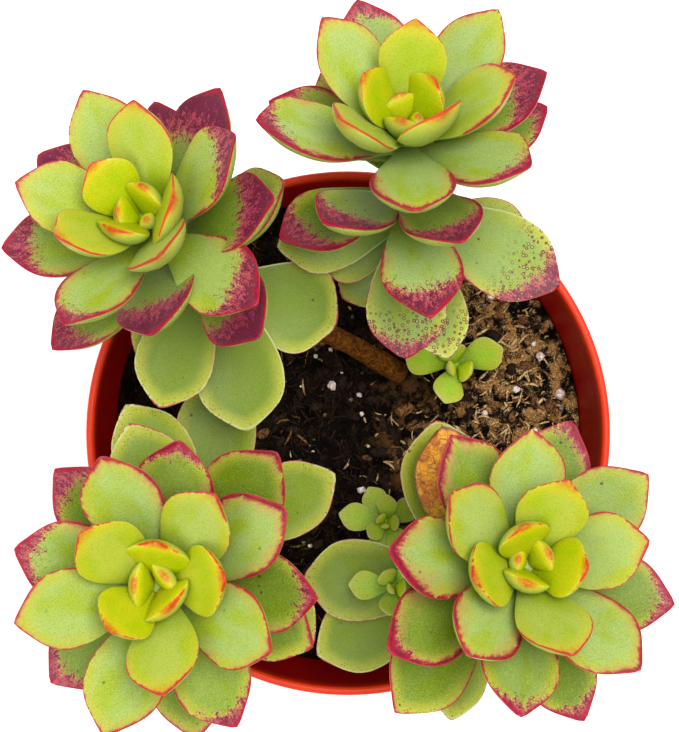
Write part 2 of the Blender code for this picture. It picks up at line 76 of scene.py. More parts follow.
# Leaf colours
GREEN = rgb(144, 160, 36)
GLAUCOUS_GREEN = rgb(146, 168, 100)
OLD_GREEN = rgb(96, 117, 2)
# The leaves' own deeper green, also used as painted shade near the leaf roots
DEEP_AND_SHADED_GREEN = rgb(76, 100, 4)
YOUNG_GREEN = rgb(148, 168, 0)
YOUNG_YELLOW = rgb(170, 172, 4)
# Pale yellow of the upper margins: partly the leaves' own colour, partly a painted highlight
PALE_YELLOW = rgb(166, 166, 52)
BACK_GREEN = rgb(148, 166, 74)
GLOW_ORANGE = rgb(206, 160, 10)
GLOW_PINK = rgb(170, 118, 80)
ORANGE_RED = rgb(184, 38, 20)
TIP_RED = rgb(176, 50, 14)
CRIMSON = rgb(150, 6, 42)
ROSE = rgb(158, 28, 78)
WINE = rgb(80, 8, 44)
SPECK_BROWN = rgb(76, 28, 22)
# Pale line at the very margin: partly waxy bloom, partly a painted highlight on the rounded edge
PALE_RIM_AND_HIGHLIGHT = rgb(176, 178, 124)
BLOOM_GREEN = rgb(172, 188, 108)
FRESH_GREEN = rgb(144, 186, 14)
WART_BROWN = rgb(96, 50, 26)
WART_PALE = rgb(170, 156, 130)
DRY_ORANGE = rgb(214, 146, 26)
DRY_BROWN = rgb(170, 92, 22)
CRACK_BROWN = rgb(56, 24, 8)

# Pot, soil and bark colours
ORANGE = rgb(198, 38, 3)
SCUFFED_ORANGE = rgb(206, 58, 16)
# Painted shade: the deep red of the pot's shadowed inner wall
SHADED_INNER_RED = rgb(160, 4, 2)
DUST = rgb(190, 150, 130)
PEAT = rgb(9, 4, 2)
PEAT_CRUMB = rgb(78, 50, 26)
STRAW = rgb(214, 182, 130)
AMBER = rgb(140, 96, 48)
DARK_BARK = rgb(44, 26, 14)
CHIP_BROWN = rgb(120, 80, 46)
PERLITE = rgb(232, 230, 226)
GRIT = rgb(124, 120, 114)
STEM_BROWN = rgb(134, 78, 16)
STEM_DARK = rgb(66, 36, 8)

# Pot
RIM_RADIUS = 0.0525
POT_HEIGHT = 0.088
BASE_RADIUS = 0.0370
WALL = 0.0013
LIP_WIDTH = 0.0017
LIP_ROUND = 0.0004
BAND_HEIGHT = 0.0110
BAND_STEP = 0.0010
FLOOR = 0.0022
FOOT_WIDTH = 0.0035
FOOT_HEIGHT = 0.0012
CENTRE_DISC = 0.0120
DRAIN_COUNT = 5
DRAIN_RADIUS = 0.0038
DRAIN_RING = 0.0230
POT_SIDES = 176

# Soil
SOIL_TOP = 0.0700
SOIL_MOUND = 0.0012
SOIL_LUMP = 0.0009
SOIL_CRUMB = 0.0008
SOIL_RINGS = 120
SOIL_SIDES = 320
STEM_HOLLOW = 0.0012
FIBRES = 2600
CHIPS = 320
GRAINS = 160
# Big white perlite grains: place and half width
PERLITE_GRAINS = ((0.0024, 0.0287, 0.0010), (-0.0033, 0.0094, 0.0010), (0.0446, 0.0076, 0.0011),
                  (0.0288, 0.0036, 0.0007), (0.0353, 0.0086, 0.0008), (0.0405, 0.0155, 0.0009),
                  (0.0024, 0.0074, 0.0006), (0.0300, 0.0280, 0.0007), (0.0029, -0.0125, 0.0009))
STRAW_KIND, AMBER_KIND, DARK_KIND, CHIP_KIND, PERLITE_KIND, GRIT_KIND = range(6)

# Stems
STEM_RADIUS = 0.0021
STEM_FOOT_RADIUS = 0.0025
STEM_DEPTH = 0.0100
STEM_RISE = 0.0040
HOLE_ROOM = 0.0005
LINE_POINTS = 160
CORE_TIP_RADIUS = 0.0012
CORE_RADIUS = 0.0022
CORE_RUN = 0.0140
STEM_REACH = 0.022

# Leaves
GOLDEN_TURN = math.radians(137.5)
FULL_LENGTH = 0.0279
HALF_GROWN = 4.7
LENGTH_PACE = 2.2
FULL_WIDTH = 0.0150
WIDTH_PACE = 4.6
YOUNG_NARROWING = 0.82
FULL_THICK = 0.0042
YOUNG_THINNING = 0.30
YOUTH_PACE = 6.0
LEAF_ROOT = 0.0006
SPACING = 0.0005
OLD_SPACING = 0.0009
OLD_FROM = 17
OPENING = 108.0
OPENING_PACE = 14.5
SAG = 13.0
YOUNG_OPENING = 24.0
YOUNG_OPENING_PACE = 4.5
OLD_CURL = 10.0
YOUNG_CURL = 18.0
OLD_CUP = 0.20
YOUNG_FLATTENING = 0.18
ROOT_WIDTH = 0.20
BLADE_SWELL = (1.15, 1.25)
WIDEST = 0.68
TIP_CURVE = (2.2, 0.66)
OLD_TIP_CURVE = (2.5, 0.62)
TIP_POINT = 0.0014
TIP_POINT_SHARPNESS = 12
ROOT_THICKNESS = 0.48
THICKEST = 0.50
THIN_CURVE = (2.8, 0.60)
UPPER_BULGE = 0.20
YOUNG_BULGE = 0.22
WAVINESS = 0.012
FINE_SIZE = 0.997
UPPER_FULLNESS = 1.5
BACK_FULLNESS = 1.2
RINGS = 40
UPPER_ANGLES = (0, 6, 14, 26, 42, 60, 78, 90, 102, 120, 138, 154, 166, 174)
LOWER_ANGLES = (180, 188, 198, 212, 230, 250, 270, 290, 310, 328, 342, 352)
AROUND = np.radians(UPPER_ANGLES + LOWER_ANGLES)

ROSETTES = {
    "a": dict(
        tip=(-0.0360, 0.0391, 0.1330), lean=19, towards=125, heading=100, sense=-1, size=0.97,
        leaves=24, root=(0.0106, 0.0122), rise=(-0.50, 0.30, 0.80),
        nudges={
            1: (0, 0, 0.8, 0.7), 3: (10, 5, 1, 1), 4: (-22, 6, 1, 1), 6: (-5, 3, 0.95, 1.1),
            7: (3, 8, 1, 1), 9: (6, 5, 0.9, 1), 10: (3, 3, 0.96, 1), 11: (-8, 0, 1.07, 1),
            14: (-13, -15, 1.08, 1), 15: (-8, 0, 0.98, 1), 16: (-7, 0, 1, 1), 17: (0, 5, 0.88, 1.1),
            18: (0, 0, 1.05, 1), 19: (-8, 4, 1, 1), 20: (-4, 0, 1, 1), 21: (6, 0, 1, 1),
            22: (-1, 0, 1.03, 1), 23: (17, -5, 1, 1), 24: (-20, 3, 0.86, 1),
        },
        lower={17: 0.003, 22: 0.005},
        skirt=[(252, 0, 0.022, 0.0260, 0.0145), (277, 0, 0.0285, 0.0270, 0.0165),
               (337, -12, 0.027, 0.0220, 0.0175), (232, 0, 0.026, 0.0215, 0.0145)],
        bare_from=0.0430,
    ),
    "b": dict(
        tip=(0.0100, 0.0555, 0.1340), lean=30, towards=90, heading=200, sense=1, size=0.96,
        leaves=24, root=(0.0135, 0.0200), rise=(0.0, 0.4, 1.0),
        nudges={
            1: (10, 0, 0.8, 0.7), 3: (0, 3, 0.95, 0.85), 4: (5, 6, 1, 1), 5: (-5, 4, 1, 1),
            6: (0, 8, 1, 1.15), 7: (0, 9, 1, 1), 8: (0, 5, 1, 1), 9: (5, 0, 0.97, 1),
            11: (0, -8, 1, 1.1), 12: (-3, 0, 1.03, 1), 13: (5, 0, 1.08, 1), 15: (6, 0, 1.02, 1),
            16: (-7, 12, 1, 1), 17: (4, 0, 1, 1), 18: (9, 0, 0.93, 1), 19: (-1, 12, 1, 1.0),
            21: (0, -8, 0.91, 1), 22: (38, 0, 1, 1), 24: (17, -5, 1, 1.03),
        },
        lower={16: 0.0115, 19: 0.006, 21: 0.005, 24: 0.003},
        skirt=[(269, -5, 0.0245, 0.026, 0.0150), (192, 5, 0.0275, 0.0235, 0.0135),
               (287, 0, 0.030, 0.024, 0.0120), (330, 5, 0.022, 0.030, 0.0155),
               (348, 0, 0.027, 0.022, 0.0140), (196, -4, 0.031, 0.0175, 0.0130),
               (220, -20, 0.034, 0.0165, 0.0110)],
    ),
    "c": dict(
        tip=(-0.0335, -0.0247, 0.1330), lean=7, towards=115, heading=263, sense=1, size=1.01,
        leaves=24, root=(-0.0185, -0.0105), rise=(-0.1, -0.2, 1.0),
        nudges={
            1: (0, 0, 1.1, 1.3), 2: (0, 0, 1, 1.15), 3: (-3, 0, 1, 1.2), 4: (-12, -6, 0.96, 1.15),
            5: (-4, 0, 1, 1), 6: (0, -7, 1, 1.05), 7: (-8, 0, 0.97, 1), 9: (-8, -4, 1, 1),
            10: (-5, 0, 1.03, 1), 11: (2, 0, 1.05, 1), 12: (-6, 0, 1, 1), 13: (3, 0, 1, 1),
            14: (3, 0, 1.1, 1), 15: (-2, 0, 0.93, 1), 17: (-2, 0, 0.95, 1), 18: (3, 0, 0.93, 1),
            19: (2, 0, 1, 1), 20: (0, 0, 0.97, 1), 21: (8, 0, 1, 1), 22: (0, 0, 1.1, 1.05),
            23: (8, 0, 0.93, 1), 24: (10, 0, 0.95, 1),
        },
        skirt=[(30, 5, 0.028, 0.027, 0.0140), (112, 5, 0.020, 0.0265, 0.0145),
               (92, 0, 0.036, 0.028, 0.0155), (318, 0, 0.028, 0.026, 0.0140),
               (120, 5, 0.030, 0.029, 0.0150)],
    ),
    "d": dict(
        tip=(0.0312, -0.0216, 0.1300), lean=16, towards=70, heading=302.5, sense=-1, size=1.0,
        leaves=24, root=(0.0155, -0.0310), rise=(0.0, 0.05, 1.0),
        nudges={
            3: (0, 3, 1, 1), 4: (0, 5, 1, 1), 5: (12, 5, 1, 1), 6: (0, -3, 1, 1),
            7: (11, 5, 1, 1), 9: (4, 0, 1, 1), 10: (2, 0, 0.9, 1), 11: (0, 0, 0.95, 1),
            12: (0, 0, 0.94, 1), 13: (-3, 0, 1, 1), 14: (0, 0, 1.04, 1), 15: (-3, 0, 1, 1),
            16: (0, 0, 0.97, 1), 17: (-3, 0, 0.96, 1), 19: (0, 0, 1.05, 1), 20: (-4, 0, 1.04, 1),
            24: (-13, -3, 1.1, 1.05),
        },
        missing=(22,),
        skirt=[(178, 0, 0.034, 0.028, 0.0160), (208, 0, 0.036, 0.028, 0.0155),
               (99, 4, 0.032, 0.030, 0.0170), (104, 9, 0.0245, 0.0288, 0.0150),
               (262, 0, 0.028, 0.025, 0.0115)],
    ),
}
PUPS = {
    "e": dict(root=(0.0215, 0.0145), height=0.0105, lean=10, towards=300, heading=58, sense=1,
              size=0.48, leaves=6),
    "f": dict(root=(0.0084, -0.0190), height=0.0100, lean=8, towards=150, heading=52, sense=-1,
              size=0.28, leaves=10, nudges={7: (0, 0, 1.3, 1.2)}),
}
SIDE_SHOOT = dict(tip=(0.0086, -0.0285, 0.1047), lean=14, towards=20, heading=72, sense=1,
                  size=0.34, leaves=7, parent="d", parent_drop=0.0320)
PUP_STEM_RADIUS = 0.0012
PUP_PACE = 3.0
PUP_GROWTH = 1.45
PUP_PLUMPNESS = 1.4

PLANT_ROOTS = [plant["root"] for plant in (*ROSETTES.values(), *PUPS.values())]

# Colouring of single leaves: how far a purple-red flush comes in from the tip, how wide the red
# margin is against the other leaves', and the side that both lean to, -1 to 1.
# A skirt leaf is named by its place in the rosette's skirt list, as "s0", "s1", ...
# Warty leaves have brown rings and pale warts; a withered one is drying to orange-brown. An old
# leaf listed below as pale is given the green of a young one as painted light, for the light on it where
# it arches up.
REDNESS = {
    "a": {9: (0, 1.3, 0), 11: (0.34, 1.2, -1), 12: (0.12, 1.6, 0), 14: (0.40, 1.5, 1),
          15: (0.30, 1.8, 0), 16: (0.70, 1, 0), 17: (0.62, 1, 0), 18: (0.45, 1.4, 0),
          19: (0.55, 1, 0), 20: (0.30, 1.6, 0), 21: (0.50, 1.2, 0), 22: (0.68, 1, 0),
          23: (0.20, 1, 0), "s1": (0, 0.6, 0)},
    "b": {6: (0, 2.2, 0.3), 8: (0, 2.2, 0.4), 9: (0, 2.0, -0.7), 11: (0, 3.0, 0),
          13: (0.16, 2.2, 1), 14: (0.10, 2.2, -1), 15: (0.12, 1.4, 0), 16: (0.45, 1.5, 1),
          17: (0.42, 1.5, -1), 18: (0.18, 1.8, 0), 19: (0.42, 1.5, 0), 20: (0.25, 1, 0),
          21: (0.35, 2, 1), 22: (0.15, 1.3, 0), 24: (0.38, 1.4, 0), "s0": (0.13, 1.4, 0),
          "s3": (0.20, 1.4, -1)},
    "c": {8: (0, 1.5, 0), 11: (0, 1.5, 0), 12: (0, 2.0, 0), 14: (0, 2.4, 0.5),
          15: (0.16, 1.6, 0), 16: (0.05, 1, 0), 17: (0.06, 2.4, 0), 18: (0.12, 1.3, 0),
          19: (0.08, 1.6, 0), 20: (0.22, 1.6, 0), 22: (0, 1.8, 0), 23: (0, 1, 0)},
    "d": {9: (0, 1.4, 0), 11: (0, 3.0, 0.3), 13: (0, 1.5, 0), 14: (0.03, 3.2, 0.8),
          16: (0.03, 1.8, 0), 17: (0, 3.0, 0.8), 18: (0.08, 1.3, 0), 19: (0.05, 3.2, 0.2),
          20: (0.06, 1.6, -1), 21: (0.04, 1.5, 0), 24: (0, 0.7, 0)},
}
WARTS = {"b": ("s0", "s2", "s3")}
WITHERED = {"d": ("s3",)}
PAINTED_LIGHT_LEAVES = {"b": (24,)}
YELLOW = {"a": 0.30, "b": 0.25, "c": 0.45, "d": 0.48}
GLAUCOUS = {"a": 0.75, "b": 1.0, "c": 0.85, "d": 1.0}


# Stem lines and leaf rules

def axis_of(plant):
    lean = math.radians(plant["lean"])
    towards = math.radians(plant["towards"])
    level = math.sin(lean)
    return np.array([level * math.cos(towards), level * math.sin(towards), math.cos(lean)])


class StemLine:
    """A stem's centre line from its growing tip down to its root, with directions along it."""

    def __init__(self, tip, axis, root, rise, reach):
        tip, root = np.array(tip, float), np.array(root, float)
        rise = np.array(rise, float) / np.linalg.norm(rise)
        low, high = root + rise * reach, tip - axis * reach
        t = np.linspace(1, 0, LINE_POINTS)[:, None]
        self.points = ((1 - t) ** 3 * root + 3 * (1 - t) ** 2 * t * low
                       + 3 * (1 - t) * t * t * high + t ** 3 * tip)
        steps = np.linalg.norm(np.diff(self.points, axis=0), axis=1)
        self.along = np.concatenate([[0.0], np.cumsum(steps)])
        forward = -np.gradient(self.points, self.along, axis=0)
        self.forward = forward / np.linalg.norm(forward, axis=1)[:, None]
        self.side = self.carry_side(axis)

    def carry_side(self, axis):
        """A side direction at each point that turns no more than the line itself does."""
        x, y, z = axis
        side = np.array([1 - x * x / (1 + z), -x * y / (1 + z), -x])
        sides = []
        for direction in self.forward:
            side = side - direction * side.dot(direction)
            side = side / np.linalg.norm(side)
            sides.append(side)
        return np.array(sides)

    def at(self, distance):
        """Place, side, other side and forward direction at a distance below the tip."""
        place, side, forward = (
            np.array([np.interp(distance, self.along, values[:, i]) for i in range(3)])
            for values in (self.points, self.side, self.forward))
        forward /= np.linalg.norm(forward)
        side -= forward * side.dot(forward)
        side /= np.linalg.norm(side)
        return place, side, np.cross(forward, side), forward


def stem_line(rosette):
    root = (*rosette["root"], SOIL_TOP + STEM_RISE)
    return StemLine(rosette["tip"], axis_of(rosette), root, rosette["rise"], STEM_REACH)


def leaf_rule(n, pace=1.0, growth=1.0):
    """Length, width, thickness, pitch and curl of leaf n, and how far below the tip it stands."""
    youth = math.exp(-n / YOUTH_PACE)
    return dict(
        length=FULL_LENGTH / (1 + math.exp((HALF_GROWN - n * growth) / LENGTH_PACE)),
        width=FULL_WIDTH * (1 - YOUNG_NARROWING * math.exp(-n / WIDTH_PACE)),
        thick=FULL_THICK * (1 - YOUNG_THINNING * youth),
        pitch=(OPENING * math.exp(-n * pace / OPENING_PACE) - SAG
               - YOUNG_OPENING * math.exp(-n * pace / YOUNG_OPENING_PACE)),
        curl=OLD_CURL + YOUNG_CURL * youth,
        cup=OLD_CUP - YOUNG_FLATTENING * youth,
        bulge=UPPER_BULGE + YOUNG_BULGE * youth,
        root=LEAF_ROOT,
        tip_curve=TIP_CURVE,
        drop=SPACING * n + OLD_SPACING * max(0, n - OLD_FROM),
        age=1 - math.exp(-n * pace / 8.0),
    )


def half_width(u, tip_curve):
    """Half the leaf's width at u of its length, as a part of its half width at the widest."""
    inner = np.clip(u / WIDEST, 0, 1)
    swell = np.sin(math.pi / 2 * inner ** BLADE_SWELL[0]) ** BLADE_SWELL[1]
    outer = np.clip((u - WIDEST) / (1 - WIDEST), 0, 1)
    return (ROOT_WIDTH + (1 - ROOT_WIDTH) * swell) * (1 - outer ** tip_curve[0]) ** tip_curve[1]


def thickness(u):
    """The leaf's thickness at u of its length, as a part of its thickness at the thickest."""
    inner = np.clip(u / THICKEST, 0, 1)
    swell = ROOT_THICKNESS + (1 - ROOT_THICKNESS) * np.sin(math.pi / 2 * inner)
    outer = np.clip((u - THICKEST) / (1 - THICKEST), 0, 1)
    return swell * (1 - outer ** THIN_CURVE[0]) ** THIN_CURVE[1]


def leaf_centre(u, leaf):
    """Distance out and up of the leaf's centre line at u of its length, and its slope there."""
    start = math.radians(leaf["pitch"] - leaf["curl"] / 2)
    curl = math.radians(leaf["curl"])
    slope = start + curl * u
    out = leaf["length"] / curl * (np.sin(slope) - math.sin(start))
    up = leaf["length"] / curl * (math.cos(start) - np.cos(slope))
    t = np.clip((u - WIDEST) / (1 - WIDEST), 0, 1)
    point = TIP_POINT * leaf["length"] / FULL_LENGTH * t ** TIP_POINT_SHARPNESS
    return out + point * np.cos(slope), up + point * np.sin(slope), slope


def spiral_leaves(plant, line):
    """Each leaf of the golden spiral with its place, its direction out and its direction up."""
    for n in range(1, plant["leaves"] + 1):
        if n in plant.get("missing", ()):
            continue
        turn, lift, longer, wider = plant.get("nudges", {}).get(n, (0, 0, 1, 1))
        leaf = leaf_rule(n, plant.get("pace", 1.0), plant.get("growth", 1.0))
        leaf["name"] = n
        leaf["pitch"] += lift
        leaf["length"] *= plant["size"] * longer
        leaf["width"] *= plant["size"] * wider * plant.get("plumpness", 1.0)
        leaf["thick"] *= plant["size"] * plant.get("plumpness", 1.0)
        leaf["root"] *= plant["size"]
        angle = math.radians(plant["heading"] + turn) + plant["sense"] * GOLDEN_TURN * n
        drop = leaf["drop"] * plant["size"] + plant.get("lower", {}).get(n, 0)
        place, side, other, forward = line.at(drop)
        yield leaf, place, side * math.cos(angle) + other * math.sin(angle), forward


def skirt_leaves(plant, line):
    """Each old leaf, held level and facing up however its stem leans."""
    for i, (heading, pitch, drop, length, width) in enumerate(plant.get("skirt", ())):
        leaf = leaf_rule(plant["leaves"])
        leaf.update(length=length, width=width, pitch=pitch, tip_curve=OLD_TIP_CURVE,
                    name="s%d" % i)
        angle = math.radians(heading)
        place = line.at(drop)[0]
        yield leaf, place, np.array([math.cos(angle), math.sin(angle), 0.0]), np.array([0, 0, 1.0])


# Leaf meshes

LEAF_VALUES = ("along", "edge", "age", "red", "blush", "yellow", "bare", "old", "fresh")


class MeshParts:
    """Gathers points, faces and the values that colour them, for many shapes in one mesh."""

    def __init__(self, names=()):
        self.points = []
        self.grain = []
        self.faces = []
        self.kinds = []
        self.values = {name: [] for name in names}
        self.count = 0

    def add(self, points, faces, kind=0, grain=None, **values):
        self.points.append(points)
        self.grain.append(points if grain is None else grain)
        self.faces += [tuple(i + self.count for i in face) for face in faces]
        self.kinds += [kind] * len(faces)
        for name, parts in self.values.items():
            parts.append(np.broadcast_to(values.get(name, 0.0), (len(points),)))
        self.count += len(points)

    def make(self, name):
        mesh = bpy.data.meshes.new(name)
        mesh.from_pydata(np.concatenate(self.points).tolist(), [], self.faces)
        for key, parts in self.values.items():
            attribute = mesh.attributes.new(key, "FLOAT", "POINT")
            attribute.data.foreach_set("value", np.concatenate(parts).astype(np.float32))
        if self.values:
            grain = mesh.attributes.new("grain", "FLOAT_VECTOR", "POINT")
            grain.data.foreach_set("vector", np.concatenate(self.grain).astype(np.float32).ravel())
        mesh.polygons.foreach_set("material_index", self.kinds)
        mesh.shade_smooth()
        return mesh


def ring_faces(rings, around):
    """Quads between neighbouring rings of points."""
    faces = []
    for i in range(rings - 1):
        for k in range(around):
            j = (k + 1) % around
            faces.append((i * around + k, i * around + j, (i + 1) * around + j, (i + 1) * around + k))
    return faces


def margin_distance(rings, half, run):
    """Distance on the leaf's surface from its margin: above zero on the upper face, below on the back."""
    step = np.linalg.norm(np.roll(rings, -1, axis=1) - rings, axis=2)
    left = len(UPPER_ANGLES)
    start = np.zeros((len(rings), 1))
    upper = np.hstack([start, np.cumsum(step[:, :left], axis=1)])
    lower = np.hstack([start, np.cumsum(step[:, left:], axis=1)])
    upper = np.minimum(upper, upper[:, -1:] - upper)[:, :-1]
    lower = np.minimum(lower, lower[:, -1:] - lower)[:, :-1]
    taper = np.gradient(half[:, 0], run[:, 0])[:, None]
    return np.hstack([upper, -lower]) / np.sqrt(1 + taper ** 2)


def smooth(value, low, high):
    """A smooth step from 0 at low to 1 at high."""
    t = np.clip((value - low) / (high - low), 0, 1)
    return t * t * (3 - 2 * t)


def add_leaf(mesh, leaf, place, out, up, look):
    """One fine leaf: rings from its root, close together near its tip, with its colouring."""
    across = np.cross(up, out)
    u = 1 - np.linspace(1, 0, RINGS + 1)[:-1] ** 1.3
    u = np.append(u, 1.0)[:, None]
    angle = AROUND[None, :]
    centre_out, centre_up, slope = leaf_centre(u, leaf)
    half = leaf["width"] / 2 * half_width(u, leaf["tip_curve"])
    thick = leaf["thick"] * thickness(u)
    side, height = np.cos(angle), np.sin(angle)
    wave = 2 * math.pi * (1.7 * u + look["chance"]) + 1.1 * side
    height = np.sign(height) * np.abs(height) ** np.where(height > 0, UPPER_FULLNESS, BACK_FULLNESS)
    bulge = np.where(height > 0, leaf["bulge"], 1 - leaf["bulge"])
    lift = leaf["cup"] * half * side * side + bulge * thick * height
    lift = lift + WAVINESS * leaf["width"] * np.sin(wave) * side * side * smooth(u, 0.2, 0.6)
    x = centre_out - lift * np.sin(slope) + leaf["root"]
    y = half * side
    z = centre_up + lift * np.cos(slope)
    points = place + FINE_SIZE * (x[..., None] * out + y[..., None] * across + z[..., None] * up)
    rings, around = points.shape[:2]
    tip = points[-1, 0]
    faces = ring_faces(rings - 1, around)
    faces.append(tuple(reversed(range(around))))
    last = (rings - 2) * around
    end = (rings - 1) * around
    faces += [(last + k, last + (k + 1) % around, end) for k in range(around)]

    run = leaf["length"] * u + 0 * side
    edge = margin_distance(points, half, leaf["length"] * u)
    lateral = y + 0 * u
    lean = side * look["side"]
    chance = look["chance"]
    start = look["red_from"] - 0.10 * lean
    red = look["red"] * smooth(u, start, start + 0.30) * (1 + 0.55 * lean)
    blush = (u - (1 - 0.52 * look["flush"]) + 0.09 * lean
             + 0.10 * (1 - smooth(edge, 0.0, 0.0030)) * smooth(u, 0.4, 0.8))
    blush = np.where(look["flush"] > 0, blush, -1.0) + 0 * side
    yellow = look["yellow"] * (0.6 + 0.4 * smooth(u, 0.2, 0.9)) + 0 * side
    grain = np.stack([lateral + chance, 0.45 * run, chance * 3 + 0 * run], axis=2)

    def spread(grid, at_tip):
        return np.append(grid[:-1].reshape(-1), at_tip)

    mesh.add(
        np.vstack([points[:-1].reshape(-1, 3), tip]), faces, look["kind"],
        np.vstack([grain[:-1].reshape(-1, 3), grain[-1, 0]]),
        along=spread(u + 0 * side, 1.0),
        edge=spread(edge, 0.0),
        age=leaf["age"],
        red=spread(red, red[-1, 0]),
        blush=spread(blush, blush[-1].mean()),
        yellow=spread(yellow, yellow[-1, 0]),
        bare=look["bare"],
        old=look["old"],
        fresh=look["fresh"],
    )


def core_radius(distance):
    ease = min(1.0, distance / CORE_RUN)
    return CORE_TIP_RADIUS + (CORE_RADIUS - CORE_TIP_RADIUS) * math.sqrt(ease)


def add_core(mesh, line, end, scale=1.0, foot=None, steps=24, around=20):
    """The green stem that the leaves stand on, closed at both ends."""
    rings = []
    for i in range(steps + 1):
        distance = end * i / steps
        place, side, other, _ = line.at(distance)
        rings.append((place, side, other, core_radius(distance / scale) * scale))
    if foot is not None:
        rings.append((np.array(foot), side, other, CORE_RADIUS * scale))
    points = []
    for place, side, other, radius in rings:
        for k in range(around):
            angle = 2 * math.pi * k / around
            points.append(place + radius * (side * math.cos(angle) + other * math.sin(angle)))
    faces = ring_faces(len(rings), around)
    faces = [face[::-1] for face in faces]
    faces.append(tuple(range(around)))
    faces.append(tuple(reversed(range((len(rings) - 1) * around, len(rings) * around))))
    points = np.array(points)
    mesh.add(points, faces, edge=-0.004, along=0.3, age=0.9, blush=-1.0)


PLAIN, WARTY, DRY = 0, 1, 2
SKIRT_AGE = {"a": 0.95, "b": 0.42, "c": 0.78, "d": 1.0}


def leaf_look(key, leaf, rng):
    """How one leaf of rosette key is coloured."""
    name = leaf["name"]
    skirt = isinstance(name, str)
    flush, margin, side = REDNESS[key].get(name, (0.0, 1.0, rng.uniform(-0.6, 0.6)))
    kind = PLAIN
    if name in WARTS.get(key, ()):
        kind = WARTY
    if name in WITHERED.get(key, ()):
        kind = DRY
    n = 24 if skirt else name
    old = SKIRT_AGE[key] * rng.uniform(0.8, 1.2) if skirt else float(smooth(n, 12, 19))
    # Painted light: this old leaf gets a young leaf's pale green for the light on it where it arches up
    if name in PAINTED_LIGHT_LEAVES.get(key, ()):
        old = 0.0
    return dict(
        kind=kind,
        chance=rng.random(),
        side=side,
        flush=flush,
        red=margin * (0.00012 if skirt else 0.00008 + 0.00026 * float(smooth(n, 2, 14))),
        red_from=max(0.30, 0.92 - 0.05 * n),
        yellow=YELLOW[key] * rng.uniform(0.6, 1.3),
        bare=1.0 if skirt else 0.0,
        old=old,
        fresh=0.0,
    )


def pup_look(rng):
    return dict(kind=PLAIN, chance=rng.random(), side=0.0, flush=0.0, red=0.0, red_from=0.9,
                yellow=0.5, bare=0.3, old=0.0, fresh=0.65)


def add_rosette_leaves(mesh, key, rosette, line):
    rng = random.Random("rosette " + key)
    for leaf, place, out, up in list(spiral_leaves(rosette, line)) + list(skirt_leaves(rosette, line)):
        add_leaf(mesh, leaf, place, out, up, leaf_look(key, leaf, rng))


def core_end(rosette):
    lowest = max(drop for _, _, drop, _, _ in rosette["skirt"])
    return rosette.get("bare_from", lowest + 2 * STEM_RADIUS)


def pup_plant(pup):
    return dict(pup, pace=PUP_PACE, growth=PUP_GROWTH, plumpness=PUP_PLUMPNESS)


def add_object(name, mesh, mats, slot, *nodes):
    """A piece that rides on the part and may stand for a solid; its slot argument is not used."""
    obj = bpy.data.objects.new(name, mesh)
    bpy.context.scene.collection.objects.link(obj)
    kinds = [0] * len(mesh.polygons)
    mesh.polygons.foreach_get("material_index", kinds)
    mesh.materials.clear()
    for mat in mats:
        mesh.materials.append(mat)
    mesh.polygons.foreach_set("material_index", kinds)
    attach(obj, BODY)
    if nodes:
        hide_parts(*nodes)
    return obj


def make_rosette(key, rosette, mats):
    line = stem_line(rosette)
    mesh = MeshParts(LEAF_VALUES)
    add_core(mesh, line, core_end(rosette))
    add_rosette_leaves(mesh, key, rosette, line)
    if key == SIDE_SHOOT["parent"]:
        shoot = pup_plant(SIDE_SHOOT)
        root = line.at(SIDE_SHOOT["parent_drop"])[0]
        reach = np.linalg.norm(root - shoot["tip"]) / 3
        shoot_line = StemLine(shoot["tip"], axis_of(shoot), root, shoot["tip"] - root, reach)
        add_core(mesh, shoot_line, shoot_line.along[-1], PUP_STEM_RADIUS / CORE_RADIUS)
        rng = random.Random("side shoot")
        for leaf, place, out, up in spiral_leaves(shoot, shoot_line):
            add_leaf(mesh, leaf, place, out, up, pup_look(rng))
    return add_object("leaves_" + key, mesh.make("leaves_" + key), mats, "leaf", "rosette_" + key)


def make_pup(key, pup, mats):
    plant = pup_plant(pup)
    root = np.array([*pup["root"], SOIL_TOP + STEM_RISE])
    axis = axis_of(pup)
    tip = root + axis * (pup["height"] - STEM_RISE)
    line = StemLine(tip, axis, root, (0, 0, 1), pup["height"] / 3)
    mesh = MeshParts(LEAF_VALUES)
    foot = (*pup["root"], SOIL_TOP - STEM_DEPTH)
    add_core(mesh, line, line.along[-1], PUP_STEM_RADIUS / CORE_RADIUS, foot)
    rng = random.Random("pup " + key)
    for leaf, place, out, up in spiral_leaves(plant, line):
        add_leaf(mesh, leaf, place, out, up, pup_look(rng))
    return add_object("leaves_" + key, mesh.make("leaves_" + key), mats, "young_leaf", "pup_" + key)


# Shader nodes

